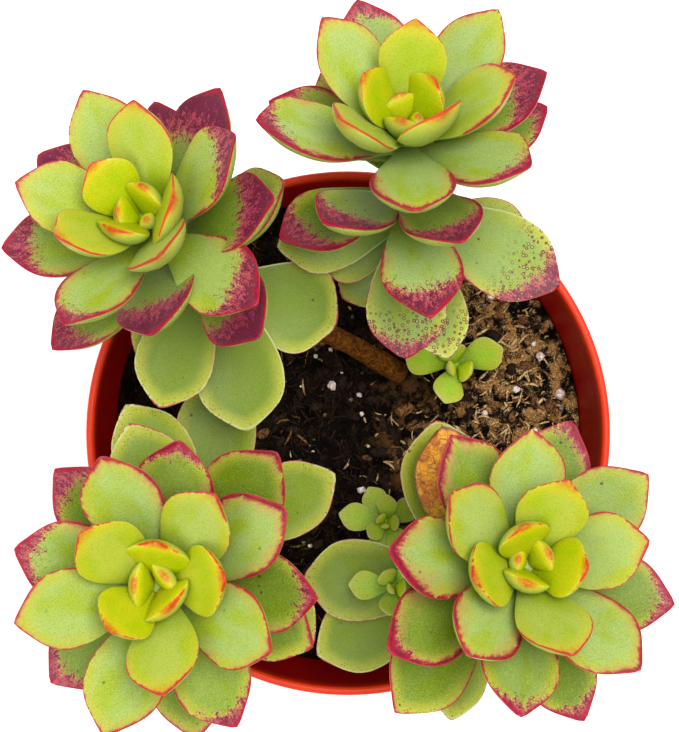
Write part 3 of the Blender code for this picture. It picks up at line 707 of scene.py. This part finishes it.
class Shader:
    """Short calls that add shader nodes to one material. A value is a number, colour or socket."""

    def __init__(self, name):
        self.mat = bpy.data.materials.new(name)
        self.mat.use_nodes = True
        self.tree = self.mat.node_tree
        self.tree.nodes.clear()
        self.out = self.tree.nodes.new("ShaderNodeOutputMaterial")
        self.main = self.tree.nodes.new("ShaderNodeBsdfPrincipled")
        self.tree.links.new(self.main.outputs[0], self.out.inputs["Surface"])
        self.place = self.tree.nodes.new("ShaderNodeTexCoord").outputs["Object"]

    def put(self, socket, value):
        if isinstance(value, bpy.types.NodeSocket):
            self.tree.links.new(value, socket)
        elif socket.type == "RGBA" and len(value) == 3:
            socket.default_value = (*value, 1.0)
        else:
            socket.default_value = value

    def math(self, operation, a, b=0.0, clamp=False):
        node = self.tree.nodes.new("ShaderNodeMath")
        node.operation = operation
        node.use_clamp = clamp
        self.put(node.inputs[0], a)
        self.put(node.inputs[1], b)
        return node.outputs[0]

    def ease(self, value, low, high, start=0.0, end=1.0):
        """A smooth step from start to end as value goes from low to high."""
        node = self.tree.nodes.new("ShaderNodeMapRange")
        node.interpolation_type = "SMOOTHSTEP"
        for socket, item in zip(node.inputs, (value, low, high, start, end)):
            self.put(socket, item)
        return node.outputs[0]

    def mix(self, factor, a, b, blend="MIX"):
        node = self.tree.nodes.new("ShaderNodeMix")
        node.data_type = "RGBA"
        node.blend_type = blend
        self.put(node.inputs["Factor"], factor)
        self.put(node.inputs[6], a)
        self.put(node.inputs[7], b)
        return node.outputs[2]

    def noise(self, scale, detail=2.0, rough=0.5, place=None, distortion=0.0):
        node = self.tree.nodes.new("ShaderNodeTexNoise")
        self.put(node.inputs["Vector"], place or self.place)
        node.inputs["Scale"].default_value = scale
        node.inputs["Detail"].default_value = detail
        node.inputs["Roughness"].default_value = rough
        node.inputs["Distortion"].default_value = distortion
        return node.outputs[0]

    def cells(self, scale, feature="F1", place=None):
        node = self.tree.nodes.new("ShaderNodeTexVoronoi")
        node.feature = feature
        self.put(node.inputs["Vector"], place or self.place)
        node.inputs["Scale"].default_value = scale
        return node.outputs

    def attribute(self, name):
        node = self.tree.nodes.new("ShaderNodeAttribute")
        node.attribute_type = "GEOMETRY"
        node.attribute_name = name
        return node.outputs

    def value(self, name):
        return self.attribute(name)["Fac"]

    def direction(self, name):
        return self.attribute(name)["Vector"]

    def tone(self, color):
        """The red part of a colour, as a number."""
        node = self.tree.nodes.new("ShaderNodeSeparateColor")
        self.put(node.inputs[0], color)
        return node.outputs[0]

    def bump(self, height, strength, distance, under=None):
        node = self.tree.nodes.new("ShaderNodeBump")
        self.put(node.inputs["Height"], height)
        node.inputs["Strength"].default_value = strength
        node.inputs["Distance"].default_value = distance
        if under is not None:
            self.put(node.inputs["Normal"], under)
        return node.outputs[0]

    def finish(self, **sockets):
        for name, value in sockets.items():
            self.put(self.main.inputs[name.replace("_", " ")], value)
        return self.mat


def leaf_material(name, glaucous, warty=False):
    """Waxy leaf: lime-yellow when young, bluer when older, red at its margin and near its tip."""
    s = Shader(name)
    along, edge, age = s.value("along"), s.value("edge"), s.value("age")
    red, blush, bare, fresh = s.value("red"), s.value("blush"), s.value("bare"), s.value("fresh")
    place = s.direction("grain")
    cloud = s.noise(210, 2.0, 0.55, place)
    ragged = s.noise(1300, 2.0, 0.65, place)
    grain = s.noise(3600, 1.0, 0.5)

    green = s.mix(s.ease(cloud, 0.30, 0.60), GREEN, GLAUCOUS_GREEN)
    green = s.mix(glaucous, GREEN, green)
    lime = s.mix(s.ease(cloud, 0.3, 0.7), YOUNG_GREEN, YOUNG_YELLOW)
    lit = s.math("MAXIMUM", s.ease(age, 0.45, 0.82, 1.0, 0.0),
                 s.math("MULTIPLY", s.value("yellow"), s.ease(cloud, 0.45, 0.75)))
    color = s.mix(lit, green, lime)
    color = s.mix(fresh, color, FRESH_GREEN)
    color = s.mix(s.math("MULTIPLY", s.value("old"), 0.85), color, OLD_GREEN)
    # Older leaves turn deep green towards their roots: partly their own deeper colour, partly painted
    # shade where the leaves above overlap them
    deep_base_shade = s.math("MULTIPLY", s.ease(along, 0.12, 0.62, 1.0, 0.0), s.ease(age, 0.3, 0.95, 0.2, 0.62))
    color = s.mix(deep_base_shade, color, DEEP_AND_SHADED_GREEN)
    # Pale yellow towards the margins near the tip: partly the leaves' own colour, partly a painted
    # highlight along the upper edges
    pale_margin_highlight = s.math("MULTIPLY", s.ease(edge, 0.0002, 0.0034, 0.8, 0.0), s.ease(along, 0.3, 0.75))
    warm = s.mix(s.ease(age, 0.45, 0.80), YOUNG_YELLOW, PALE_YELLOW)
    color = s.mix(pale_margin_highlight, color, warm)
    color = s.mix(s.ease(edge, -0.0006, 0.0, 0.8, 0.0), color, BACK_GREEN)
    color = s.mix(s.ease(grain, 0.45, 0.70, 0.0, 0.22), color, DEEP_AND_SHADED_GREEN)
    bloom = s.math("MULTIPLY", s.ease(grain, 0.50, 0.28, 0.0, 0.20), s.ease(age, 0.55, 0.85))
    bloom = s.math("MULTIPLY", bloom, s.ease(bare, 0.0, 1.0, 1.0, 0.35))
    color = s.mix(bloom, color, BLOOM_GREEN)

    # Pale line along the margin: partly waxy bloom, partly a painted highlight on the rounded edge
    rim = s.math("ADD", 0.00010, s.math("MULTIPLY", bare, 0.00016))
    pale = s.math("MULTIPLY", s.ease(s.math("DIVIDE", s.math("ABSOLUTE", edge), rim), 0.4, 1.6, 0.8, 0.0),
                  s.ease(along, 0.05, 0.3))
    pale = s.math("MULTIPLY", pale, s.math("ADD", 0.30, s.math("MULTIPLY", bare, 0.7)))
    color = s.mix(pale, color, PALE_RIM_AND_HIGHLIGHT)

    young = s.math("SUBTRACT", s.ease(age, 0.50, 0.78, 1.0, 0.0), s.math("ADD", bare, fresh), clamp=True)
    halo = s.math("MULTIPLY", s.ease(along, 0.80, 1.0, 0.0, 0.34), young)
    color = s.mix(halo, color, GLOW_ORANGE)

    speckle = s.math("SUBTRACT", s.math("ADD", ragged, s.math("MULTIPLY", grain, 0.8)), 0.9)
    front = s.ease(edge, -0.00028, -0.00006)
    field = s.math("ADD", blush, s.math("MULTIPLY", speckle, 0.30))
    rose = s.ease(field, -0.05, 0.05, 0.0, 0.88)
    color = s.mix(s.math("MULTIPLY", rose, front), color, ROSE)
    field = s.math("ADD", blush, s.math("MULTIPLY", speckle, 0.80))
    wine = s.ease(field, 0.06, 0.18, 0.0, 0.85)
    color = s.mix(s.math("MULTIPLY", wine, front), color, WINE)

    uneven = s.ease(cloud, 0.35, 0.65, 0.4, 1.2)
    frayed = s.math("MULTIPLY", s.math("SUBTRACT", ragged, 0.5), 2.2)
    reach = s.math("MULTIPLY", red, s.math("MAXIMUM", s.math("ADD", uneven, frayed), 0.12))
    reach = s.math("ADD", reach, 1e-6)
    ratio = s.math("DIVIDE", edge, reach)
    glow = s.math("MULTIPLY", s.ease(ratio, 0.8, 4.5, 0.5, 0.0), s.ease(reach, 0.0, 0.0003))
    glow = s.math("MULTIPLY", glow, s.math("SUBTRACT", 1.0, rose))
    halo_tone = s.mix(s.ease(age, 0.45, 0.80), GLOW_ORANGE, GLOW_PINK)
    color = s.mix(s.math("MULTIPLY", glow, front), color, halo_tone)
    crimson = s.mix(s.ease(age, 0.40, 0.75), ORANGE_RED, CRIMSON)
    line = s.math("MULTIPLY", s.ease(ratio, 0.4, 1.7, 0.94, 0.0), s.ease(reach, 0.00003, 0.00010))
    color = s.mix(s.math("MULTIPLY", line, front), color, crimson)
    core = s.math("MULTIPLY", s.ease(reach, 0.00040, 0.00075), s.ease(ratio, 0.15, 0.35))
    core = s.math("MULTIPLY", core, s.ease(s.math("ADD", ratio, s.math("MULTIPLY", speckle, 3.0)),
                                           0.45, 0.85, 0.7, 0.0))
    color = s.mix(s.math("MULTIPLY", core, front), color, WINE)
    spot = s.ease(s.math("ADD", along, s.math("MULTIPLY", speckle, 0.05)), 0.93, 1.0, 0.0, 0.72)
    color = s.mix(s.math("MULTIPLY", spot, young), color, TIP_RED)

    dots = s.cells(1900)
    dot = s.math("MULTIPLY", s.ease(dots["Distance"], 0.20, 0.34, 1.0, 0.0),
                 s.ease(s.tone(dots["Color"]), 0.45, 0.55))
    zone = s.math("MULTIPLY", s.ease(along, 0.45, 0.95), s.ease(age, 0.78, 0.95))
    zone = s.math("MULTIPLY", zone, s.ease(edge, 0.0, 0.0030, 1.0, 0.25))
    zone = s.math("MAXIMUM", zone, s.ease(blush, -0.20, 0.0))
    color = s.mix(s.math("MULTIPLY", s.math("MULTIPLY", dot, zone), 0.7), color, SPECK_BROWN)
    spots = s.cells(330)
    spot = s.math("MULTIPLY", s.ease(spots["Distance"], 0.07, 0.12, 0.8, 0.0),
                  s.ease(s.tone(spots["Color"]), 0.70, 0.74))
    color = s.mix(s.math("MULTIPLY", spot, s.ease(age, 0.6, 0.9)), color, SPECK_BROWN)

    height = s.math("ADD", s.math("MULTIPLY", grain, 0.35), cloud)
    if warty:
        warts = s.cells(1150)
        some = s.ease(s.tone(warts["Color"]), 0.20, 0.26)
        zone = s.math("MULTIPLY", s.ease(along, 0.60, 0.80), some)
        ring = s.math("SUBTRACT", s.ease(warts["Distance"], 0.34, 0.48, 1.0, 0.0),
                      s.ease(warts["Distance"], 0.18, 0.28, 1.0, 0.0))
        color = s.mix(s.math("MULTIPLY", ring, zone), color, WART_BROWN)
        wart = s.math("MULTIPLY", s.ease(warts["Distance"], 0.14, 0.26, 1.0, 0.0), zone)
        color = s.mix(s.math("MULTIPLY", wart, 0.7), color, WART_PALE)
        height = s.math("ADD", height, wart)
    rough = s.ease(cloud, 0.3, 0.7, 0.38, 0.52)
    normal = s.bump(height, 0.35, 0.0006)
    return s.finish(Base_Color=color, Roughness=rough, Normal=normal, Subsurface_Weight=0.15,
                    Subsurface_Scale=0.0018, Subsurface_Radius=(0.8, 1.0, 0.3),
                    Specular_IOR_Level=0.22)


def dry_leaf_material():
    """An old leaf drying from its tip: orange, cracked brown, still green at its root."""
    s = Shader("dry_leaf")
    along, edge = s.value("along"), s.value("edge")
    patch = s.noise(420, 4.0, 0.65, distortion=0.6)
    dry = s.mix(s.ease(patch, 0.42, 0.6), DRY_ORANGE, DRY_BROWN)
    crack = s.ease(s.cells(700, "DISTANCE_TO_EDGE")["Distance"], 0.0, 0.06, 0.7, 0.0)
    dry = s.mix(crack, dry, CRACK_BROWN)
    dry = s.mix(s.ease(s.math("ABSOLUTE", edge), 0.0001, 0.0005, 0.8, 0.0), dry, CRACK_BROWN)
    color = s.mix(s.ease(along, 0.30, 0.62), OLD_GREEN, dry)
    return s.finish(Base_Color=color, Roughness=0.5, Normal=s.bump(patch, 0.6, 0.0005),
                    Subsurface_Weight=0.1, Subsurface_Scale=0.001,
                    Subsurface_Radius=(1.0, 0.6, 0.2))


def plastic_material():
    """Terracotta-orange moulded plastic, a little scuffed; its inner wall is darkened to deep red as
    painted shade.
    """
    s = Shader("orange_plastic")
    split = s.tree.nodes.new("ShaderNodeSeparateXYZ")
    s.put(split.inputs[0], s.place)
    x, y, z = split.outputs
    radius = s.math("SQRT", s.math("ADD", s.math("MULTIPLY", x, x), s.math("MULTIPLY", y, y)))
    slope = (outer_wall(POT_HEIGHT - BAND_HEIGHT) - outer_wall(0)) / (POT_HEIGHT - BAND_HEIGHT)
    middle = s.math("ADD", s.math("MULTIPLY", z, slope), BASE_RADIUS - WALL / 2)
    # Painted shade: the inner wall, from the soil up to just under the rim, is darkened to deep red where
    # shadow falls
    inside = s.math("LESS_THAN", radius, middle)
    inside = s.math("MULTIPLY", inside, s.ease(z, POT_HEIGHT - 0.0040, POT_HEIGHT - 0.0008, 1.0, 0.0))
    scuff = s.noise(300, 4.0, 0.7)
    color = s.mix(s.ease(scuff, 0.35, 0.7, 0.2, 0.6), ORANGE, SCUFFED_ORANGE)
    color = s.mix(s.ease(s.noise(60, 3.0, 0.6), 0.56, 0.8, 0.0, 0.03), color, DUST)
    color = s.mix(inside, color, SHADED_INNER_RED)
    rough = s.ease(scuff, 0.3, 0.7, 0.38, 0.48)
    return s.finish(Base_Color=color, Roughness=rough, Normal=s.bump(scuff, 0.06, 0.0003),
                    Specular_IOR_Level=0.22)


def soil_material():
    """Peat: nearly black in its hollows, partly its own dark tone and partly painted shade; brown on its
    crumbs, drier and paler to one side.
    """
    s = Shader("peat")
    crumbs = s.noise(1100, 5.0, 0.7, distortion=0.8)
    relief = s.value("relief")
    clods = s.noise(260, 3.0, 0.6)
    # The crumbs' relief sets the colour: hollows stay nearly black, partly as painted shade, and tops
    # turn brown
    top = s.math("ADD", s.math("MULTIPLY", relief, 0.5), s.math("MULTIPLY", crumbs, 0.55))
    top = s.math("ADD", top, s.math("MULTIPLY", s.math("SUBTRACT", clods, 0.5), 0.9))
    damp = s.ease(s.value("dry"), 0.0, 1.0, 0.06, 1.0)
    color = s.mix(s.math("MULTIPLY", s.ease(top, 0.42, 0.80), damp), PEAT, PEAT_CRUMB)
    dry = s.math("MULTIPLY", s.value("dry"), s.ease(top, 0.48, 0.66))
    color = s.mix(dry, color, AMBER)
    fibres = s.noise(1500, 2.0, 0.6, distortion=3.0)
    straw = s.math("MULTIPLY", s.ease(fibres, 0.54, 0.62), s.ease(s.value("dry"), 0.2, 1.0, 0.04, 0.85))
    straw = s.math("MULTIPLY", straw, s.ease(top, 0.40, 0.62))
    color = s.mix(straw, color, STRAW)
    return s.finish(Base_Color=color, Roughness=0.75, Normal=s.bump(crumbs, 0.9, 0.0008),
                    Specular_IOR_Level=0.06)


def grit_material(name, dark, light, rough=0.7):
    """Woody or stony bits in the soil and the stems' bark: two tones in a fine grain."""
    s = Shader(name)
    fibre = s.noise(1300, 3.0, 0.7, distortion=1.0)
    color = s.mix(s.ease(fibre, 0.38, 0.64), dark, light)
    return s.finish(Base_Color=color, Roughness=rough, Normal=s.bump(fibre, 0.6, 0.0004),
                    Specular_IOR_Level=0.12)


def floor_material():
    s = Shader("pale_floor")
    rough = s.ease(s.noise(30, 3.0), 0.3, 0.7, 0.75, 0.85)
    return s.finish(Base_Color=(0.96, 0.96, 0.96), Roughness=rough)


# Pot, soil and stems

def outer_wall(z):
    """Outer radius of the pot's plain wall at height z."""
    band_bottom = POT_HEIGHT - BAND_HEIGHT
    top = RIM_RADIUS - BAND_STEP
    return BASE_RADIUS + (top - BASE_RADIUS) * z / band_bottom


def inner_wall(z):
    return outer_wall(z) - WALL


def turned_mesh(name, profile, sides):
    """A closed solid of revolution; the profile runs from the axis round to the axis."""
    bm = bmesh.new()
    rings = []
    for radius, height in profile:
        if radius == 0:
            rings.append([bm.verts.new((0, 0, height))] * sides)
            continue
        angles = [2 * math.pi * k / sides for k in range(sides)]
        rings.append([bm.verts.new((radius * math.cos(a), radius * math.sin(a), height))
                      for a in angles])
    for low, high in zip(rings, rings[1:]):
        for k in range(sides):
            corners = [low[k - 1], low[k], high[k], high[k - 1]]
            corners = [v for i, v in enumerate(corners) if v not in corners[:i]]
            bm.faces.new(corners)
    return mesh_from(bm, name)


def pot_profile():
    band_bottom = POT_HEIGHT - BAND_HEIGHT
    lip_inner = RIM_RADIUS - LIP_WIDTH
    foot_inner = BASE_RADIUS - FOOT_WIDTH
    lip_middle = RIM_RADIUS - LIP_WIDTH / 2
    lip = [(lip_middle - LIP_WIDTH / 2 * math.cos(a), POT_HEIGHT - LIP_ROUND * 2 * (1 - math.sin(a)))
           for a in np.radians(range(0, 181, 20))]
    return [
        (0.0, FLOOR),
        (inner_wall(FLOOR) - LIP_WIDTH, FLOOR),
        (inner_wall(FLOOR + LIP_WIDTH), FLOOR + LIP_WIDTH),
        (inner_wall(SOIL_TOP), SOIL_TOP),
        (lip_inner, POT_HEIGHT - 4 * LIP_ROUND),
        *lip,
        (RIM_RADIUS - LIP_ROUND, band_bottom + LIP_ROUND),
        (RIM_RADIUS - 2 * LIP_ROUND, band_bottom),
        (outer_wall(band_bottom - LIP_ROUND), band_bottom - LIP_ROUND),
        (outer_wall(3 * LIP_ROUND), 3 * LIP_ROUND),
        (outer_wall(0) - LIP_ROUND, LIP_ROUND / 2),
        (BASE_RADIUS - 2 * LIP_ROUND, 0.0),
        (foot_inner, 0.0),
        (foot_inner - FOOT_HEIGHT, FOOT_HEIGHT),
        (CENTRE_DISC + FOOT_HEIGHT, FOOT_HEIGHT),
        (CENTRE_DISC, 0.0),
        (0.0, 0.0),
    ]


def make_pot(mat):
    pot = add_object("fine_pot", turned_mesh("fine_pot", pot_profile(), POT_SIDES), [mat],
                     "terracotta_plastic", "pot")
    for i in range(DRAIN_COUNT):
        angle = 2 * math.pi * i / DRAIN_COUNT
        bm = bmesh.new()
        bmesh.ops.create_cone(bm, cap_ends=True, segments=32, radius1=DRAIN_RADIUS,
                              radius2=DRAIN_RADIUS, depth=4 * FLOOR)
        mesh = bpy.data.meshes.new("drain")
        bm.to_mesh(mesh)
        bm.free()
        mesh.transform(Matrix.Translation((DRAIN_RING * math.cos(angle),
                                           DRAIN_RING * math.sin(angle), FLOOR / 2)))
        carve(pot, mesh)
    pot.data.shade_smooth()
    pot.data.set_sharp_from_angle(angle=math.radians(35))
    return pot


def carve(obj, cutter_mesh):
    """Cuts a closed mesh out of an object and leaves no modifier or cutter behind."""
    cutter = bpy.data.objects.new("cutter", cutter_mesh)
    bpy.context.scene.collection.objects.link(cutter)
    cut = obj.modifiers.new("cut", "BOOLEAN")
    cut.operation = "DIFFERENCE"
    cut.solver = "EXACT"
    cut.object = cutter
    depsgraph = bpy.context.evaluated_depsgraph_get()
    mesh = bpy.data.meshes.new_from_object(obj.evaluated_get(depsgraph))
    obj.modifiers.clear()
    obj.data = mesh
    bpy.data.objects.remove(cutter, do_unlink=True)


def soil_height(x, y):
    """Height of the soil surface: a slight mound with lumps, level at the pot's wall."""
    part = math.hypot(x, y) / inner_wall(SOIL_TOP)
    broad = math.sin(x / 0.0032 + 1.3) * math.cos(y / 0.0037 - 0.6)
    small = math.sin(y / 0.0018 + x / 0.0024) * math.cos(x / 0.0016 - y / 0.0045)
    lumps = SOIL_LUMP * (broad + 0.6 * small) * (1 - part ** 6)
    return SOIL_TOP + SOIL_MOUND * (1 - part ** 2) + lumps


def crumb(x, y):
    """Height of the crumbs above the smooth soil surface, from about -1 to 1."""
    rough = noise.fractal(Vector((x, y, 0.0)) * 420, 0.7, 2.1, 5)
    ridge = 0.5 - abs(noise.noise(Vector((x, y, 0.02)) * 300))
    return 0.8 * rough + 0.9 * ridge - 0.3


def crumbly_height(x, y):
    """The soil surface with its crumbs, level at the pot's wall and hollow around the stems."""
    part = min(1.0, math.hypot(x, y) / inner_wall(SOIL_TOP))
    height = soil_height(x, y) + SOIL_CRUMB * crumb(x, y) * (1 - part ** 8)
    for rosette in ROSETTES.values():
        near = math.hypot(x - rosette["root"][0], y - rosette["root"][1]) / STEM_FOOT_RADIUS
        height -= STEM_HOLLOW * (near < 1.05)
    return height


def dryness(x, y):
    """How dry and pale the soil is: wet among the plants on the left, dry on the right."""
    patch = noise.noise(Vector((x, y, 0.05)) * 90)
    return float(smooth(x + 0.012 * patch, 0.002, 0.036))


def make_soil(mat):
    top_radius = inner_wall(SOIL_TOP) - GAP
    floor_radius = inner_wall(FLOOR + LIP_WIDTH) - 2 * LIP_WIDTH
    profile = [(top_radius * i / SOIL_RINGS, SOIL_TOP) for i in range(SOIL_RINGS + 1)]
    profile += [
        (inner_wall(2 * FLOOR + LIP_WIDTH) - GAP, 2 * FLOOR + LIP_WIDTH),
        (floor_radius, FLOOR + GAP),
        (0.0, FLOOR + GAP),
    ]
    mesh = turned_mesh("fine_soil", profile, SOIL_SIDES)
    relief = []
    dry = []
    for v in mesh.vertices:
        x, y = v.co.x, v.co.y
        relief.append(0.5 + 0.5 * crumb(x, y))
        dry.append(dryness(x, y))
        if v.co.z > SOIL_TOP - GAP:
            v.co.z = crumbly_height(x, y)
    for name, values in (("relief", relief), ("dry", dry)):
        mesh.attributes.new(name, "FLOAT", "POINT").data.foreach_set("value", values)
    mesh.shade_smooth()
    return add_object("fine_soil", mesh, [mat], "potting_soil", "soil")


def ball(subdivisions):
    """Points and faces of a round template for lumps."""
    bm = bmesh.new()
    bmesh.ops.create_icosphere(bm, subdivisions=subdivisions, radius=1.0)
    points = np.array([v.co for v in bm.verts])
    faces = [tuple(v.index for v in face.verts) for face in bm.faces]
    bm.free()
    return points, faces


def add_lump(mesh, rng, place, size, kind, template):
    """An irregular chip or grain, half sunk in the soil."""
    points, faces = template
    seed = Vector((rng.uniform(0, 50), 0, 0))
    swell = np.array([1 + 0.45 * noise.noise(Vector(point) * 1.3 + seed) for point in points])
    turn = Matrix.Rotation(rng.uniform(0, math.pi), 3, "Z") @ Matrix.Rotation(rng.gauss(0, 0.5), 3, "X")
    shaped = points * swell[:, None] * np.array(size)
    mesh.add(shaped @ np.array(turn).T + np.array(place), faces, kind)


def add_fibre(mesh, rng, place, length, radius, kind, steps=5, sides=4):
    """A bent fibre lying on the soil, thin at both ends."""
    heading = rng.uniform(0, 2 * math.pi)
    bend = rng.gauss(0, 0.9)
    rise = abs(rng.gauss(0, 0.18))
    points = []
    point = np.array(place)
    for i in range(steps + 1):
        part = i / steps
        turn = heading + bend * (part - 0.5)
        side = np.array([-math.sin(turn), math.cos(turn), 0])
        wide = radius * (0.25 + 0.75 * math.sin(math.pi * min(0.97, max(0.03, part))))
        for k in range(sides):
            angle = 2 * math.pi * k / sides
            offset = side * math.cos(angle) + np.array([0, 0, 0.6 * math.sin(angle)])
            points.append(point + offset * wide)
        ahead = np.array([math.cos(turn), math.sin(turn), rise * (0.7 - part)])
        point = point + ahead * (length / steps)
    faces = ring_faces(steps + 1, sides)
    faces.append(tuple(reversed(range(sides))))
    faces.append(tuple(range(steps * sides, (steps + 1) * sides)))
    mesh.add(np.array(points), faces, kind)


def litter_place(rng, reach, lift):
    """A random place on the soil, at least reach inside the pot's wall and clear of stems."""
    while True:
        radius = (inner_wall(SOIL_TOP) - reach) * math.sqrt(rng.random())
        angle = rng.uniform(0, 2 * math.pi)
        x, y = radius * math.cos(angle), radius * math.sin(angle)
        if all(math.hypot(x - px, y - py) > 2 * STEM_FOOT_RADIUS for px, py in PLANT_ROOTS):
            return Vector((x, y, crumbly_height(x, y) + lift))


def mesh_from(bm, name):
    bmesh.ops.recalc_face_normals(bm, faces=bm.faces)
    mesh = bpy.data.meshes.new(name)
    bm.to_mesh(mesh)
    bm.free()
    return mesh


def litter_kind(rng, first, second, kinds):
    """One of three kinds; first and second are the chances of the first two."""
    draw = rng.random()
    return kinds[(draw > first) + (draw > first + second)]


def make_litter(mats):
    """Fibres, bark chips and grains strewn over the soil; more pale fibres where it is dry."""
    rng = random.Random("litter")
    mesh = MeshParts()
    for _ in range(FIBRES):
        length = rng.uniform(0.0008, 0.0038)
        place = litter_place(rng, length + 0.0008, 0.0001)
        dry = dryness(place.x, place.y)
        kind = litter_kind(rng, 0.02 + 0.68 * dry, 0.08 + 0.14 * dry, (STRAW_KIND, AMBER_KIND, DARK_KIND))
        add_fibre(mesh, rng, place, length, rng.uniform(0.00010, 0.00038), kind)
    small, large = ball(2), ball(3)
    for _ in range(CHIPS):
        wide = rng.uniform(0.0004, 0.0013)
        size = (wide * rng.uniform(1.0, 2.4), wide, wide * rng.uniform(0.25, 0.6))
        place = litter_place(rng, 0.0045, 0.0002)
        dry = dryness(place.x, place.y)
        kind = litter_kind(rng, 0.04 + 0.46 * dry, 0.06 + 0.30 * dry, (CHIP_KIND, AMBER_KIND, DARK_KIND))
        add_lump(mesh, rng, place, size, kind, small)
    for _ in range(GRAINS):
        wide = rng.uniform(0.00020, 0.00060)
        place = litter_place(rng, 0.0025, 0.0001)
        kind = PERLITE_KIND if rng.random() < 0.35 else GRIT_KIND
        add_lump(mesh, rng, place, (wide, wide, wide * 0.7), kind, small)
    for x, y, wide in PERLITE_GRAINS:
        place = (x, y, crumbly_height(x, y) + wide * 0.4)
        add_lump(mesh, rng, place, (wide, wide * 0.85, wide * 0.8), PERLITE_KIND, large)
    return add_object("litter", mesh.make("litter"), mats, "potting_soil")


def make_stem(key, rosette, mat):
    """A bark-covered stem with the scars of fallen leaves, from under its leaves to the soil."""
    line = stem_line(rosette)
    start = core_end(rosette) + GAP
    length = line.along[-1] - start
    steps, around = 90, 40
    rng = random.Random("stem " + key)
    scars = [(rng.random() * length, rng.random() * 2 * math.pi) for _ in range(26)]
    points = []
    for i in range(steps + 1):
        distance = start + length * i / steps
        place, side, other, _ = line.at(distance)
        for k in range(around):
            angle = 2 * math.pi * k / around
            direction = side * math.cos(angle) + other * math.sin(angle)
            base = STEM_RADIUS + (STEM_FOOT_RADIUS - STEM_RADIUS) * i / steps
            here = Vector(place + direction * base)
            ridge = noise.fractal(Vector((angle * 2.2, distance * 240, 3.0)), 0.8, 2.0, 4)
            scar = 0.0
            for down, turn in scars:
                gap_along = (distance - start - down) / 0.0011
                gap_round = math.sin((angle - turn) / 2) * 3.2
                scar += math.exp(-gap_along ** 2 - gap_round ** 2)
            radius = base - 0.00030 + 0.00016 * ridge + 0.00030 * min(1.0, scar)
            points.append(tuple(place + direction * radius))
    foot = Vector((*rosette["root"], SOIL_TOP - STEM_DEPTH))
    place, side, other, _ = line.at(line.along[-1])
    for k in range(around):
        angle = 2 * math.pi * k / around
        direction = side * math.cos(angle) + other * math.sin(angle)
        points.append(tuple(Vector(direction * (STEM_FOOT_RADIUS - 0.0003)) + foot))
    rings = steps + 2
    faces = [face[::-1] for face in ring_faces(rings, around)]
    faces.append(tuple(range(around)))
    faces.append(tuple(reversed(range((rings - 1) * around, rings * around))))
    mesh = bpy.data.meshes.new("bark_" + key)
    mesh.from_pydata(points, [], faces)
    mesh.shade_smooth()
    return add_object("bark_" + key, mesh, [mat], "bark", "stem_" + key)


def main():
    dry = dry_leaf_material()
    for key, rosette in ROSETTES.items():
        mats = [leaf_material("leaf_" + key, GLAUCOUS[key])]
        if key in WARTS or key in WITHERED:
            mats += [leaf_material("warty_leaf_" + key, GLAUCOUS[key], True), dry]
        make_rosette(key, rosette, mats)
    bark = grit_material("bark", STEM_DARK, STEM_BROWN)
    for key, rosette in ROSETTES.items():
        make_stem(key, rosette, bark)
    pup_mat = leaf_material("leaf_pup", 0.3)
    for key, pup in PUPS.items():
        make_pup(key, pup, [pup_mat])
    make_pot(plastic_material())
    make_soil(soil_material())
    make_litter([
        grit_material("straw", AMBER, STRAW),
        grit_material("amber_fibre", DARK_BARK, AMBER),
        grit_material("dark_fibre", PEAT, DARK_BARK),
        grit_material("bark_chip", DARK_BARK, CHIP_BROWN),
        grit_material("perlite", DUST, PERLITE, 0.9),
        grit_material("grit", DARK_BARK, GRIT, 0.4),
    ])


def add_area_light(name, place, target, size, power, color=(1, 1, 1)):
    data = bpy.data.lights.new(name, "AREA")
    data.shape = "DISK"
    data.size = size
    data.energy = power
    data.color = color
    obj = bpy.data.objects.new(name, data)
    obj.location = place
    obj.rotation_euler = (Vector(target) - Vector(place)).to_track_quat("-Z", "Y").to_euler()
    bpy.context.scene.collection.objects.link(obj)


def make_studio():
    """A pale floor, a soft overhead light with a weaker one from the side, and the camera."""
    scene = bpy.context.scene
    mesh = turned_mesh("floor", [(0.0, 0.0), (2.5, 0.0), (2.5, -0.01), (0.0, -0.01)], 64)
    floor = bpy.data.objects.new("floor", mesh)
    scene.collection.objects.link(floor)
    mesh.materials.append(floor_material())
    middle = (0.0, 0.01, 0.1)
    add_area_light("key_light", (0.24, 0.22, 1.15), middle, 0.8, 15.8)
    add_area_light("fill_light", (-0.6, -0.4, 0.8), middle, 1.0, 6.0)
    world = bpy.data.worlds.new("studio")
    world.use_nodes = True
    world.node_tree.nodes["Background"].inputs["Color"].default_value = (1, 1, 1, 1)
    world.node_tree.nodes["Background"].inputs["Strength"].default_value = 0.62
    scene.world = world
    scene.view_settings.view_transform = "Standard"
    camera = bpy.data.objects.new("camera", bpy.data.cameras.new("camera"))
    scene.collection.objects.link(camera)
    camera.location = CAMERA_PLACE
    camera.data.sensor_fit = "AUTO"
    camera.data.sensor_width = SENSOR_WIDTH
    camera.data.lens = FOCAL_PIXELS * SENSOR_WIDTH / 732
    camera.data.clip_start = 0.01
    scene.camera = camera


main()
make_studio()
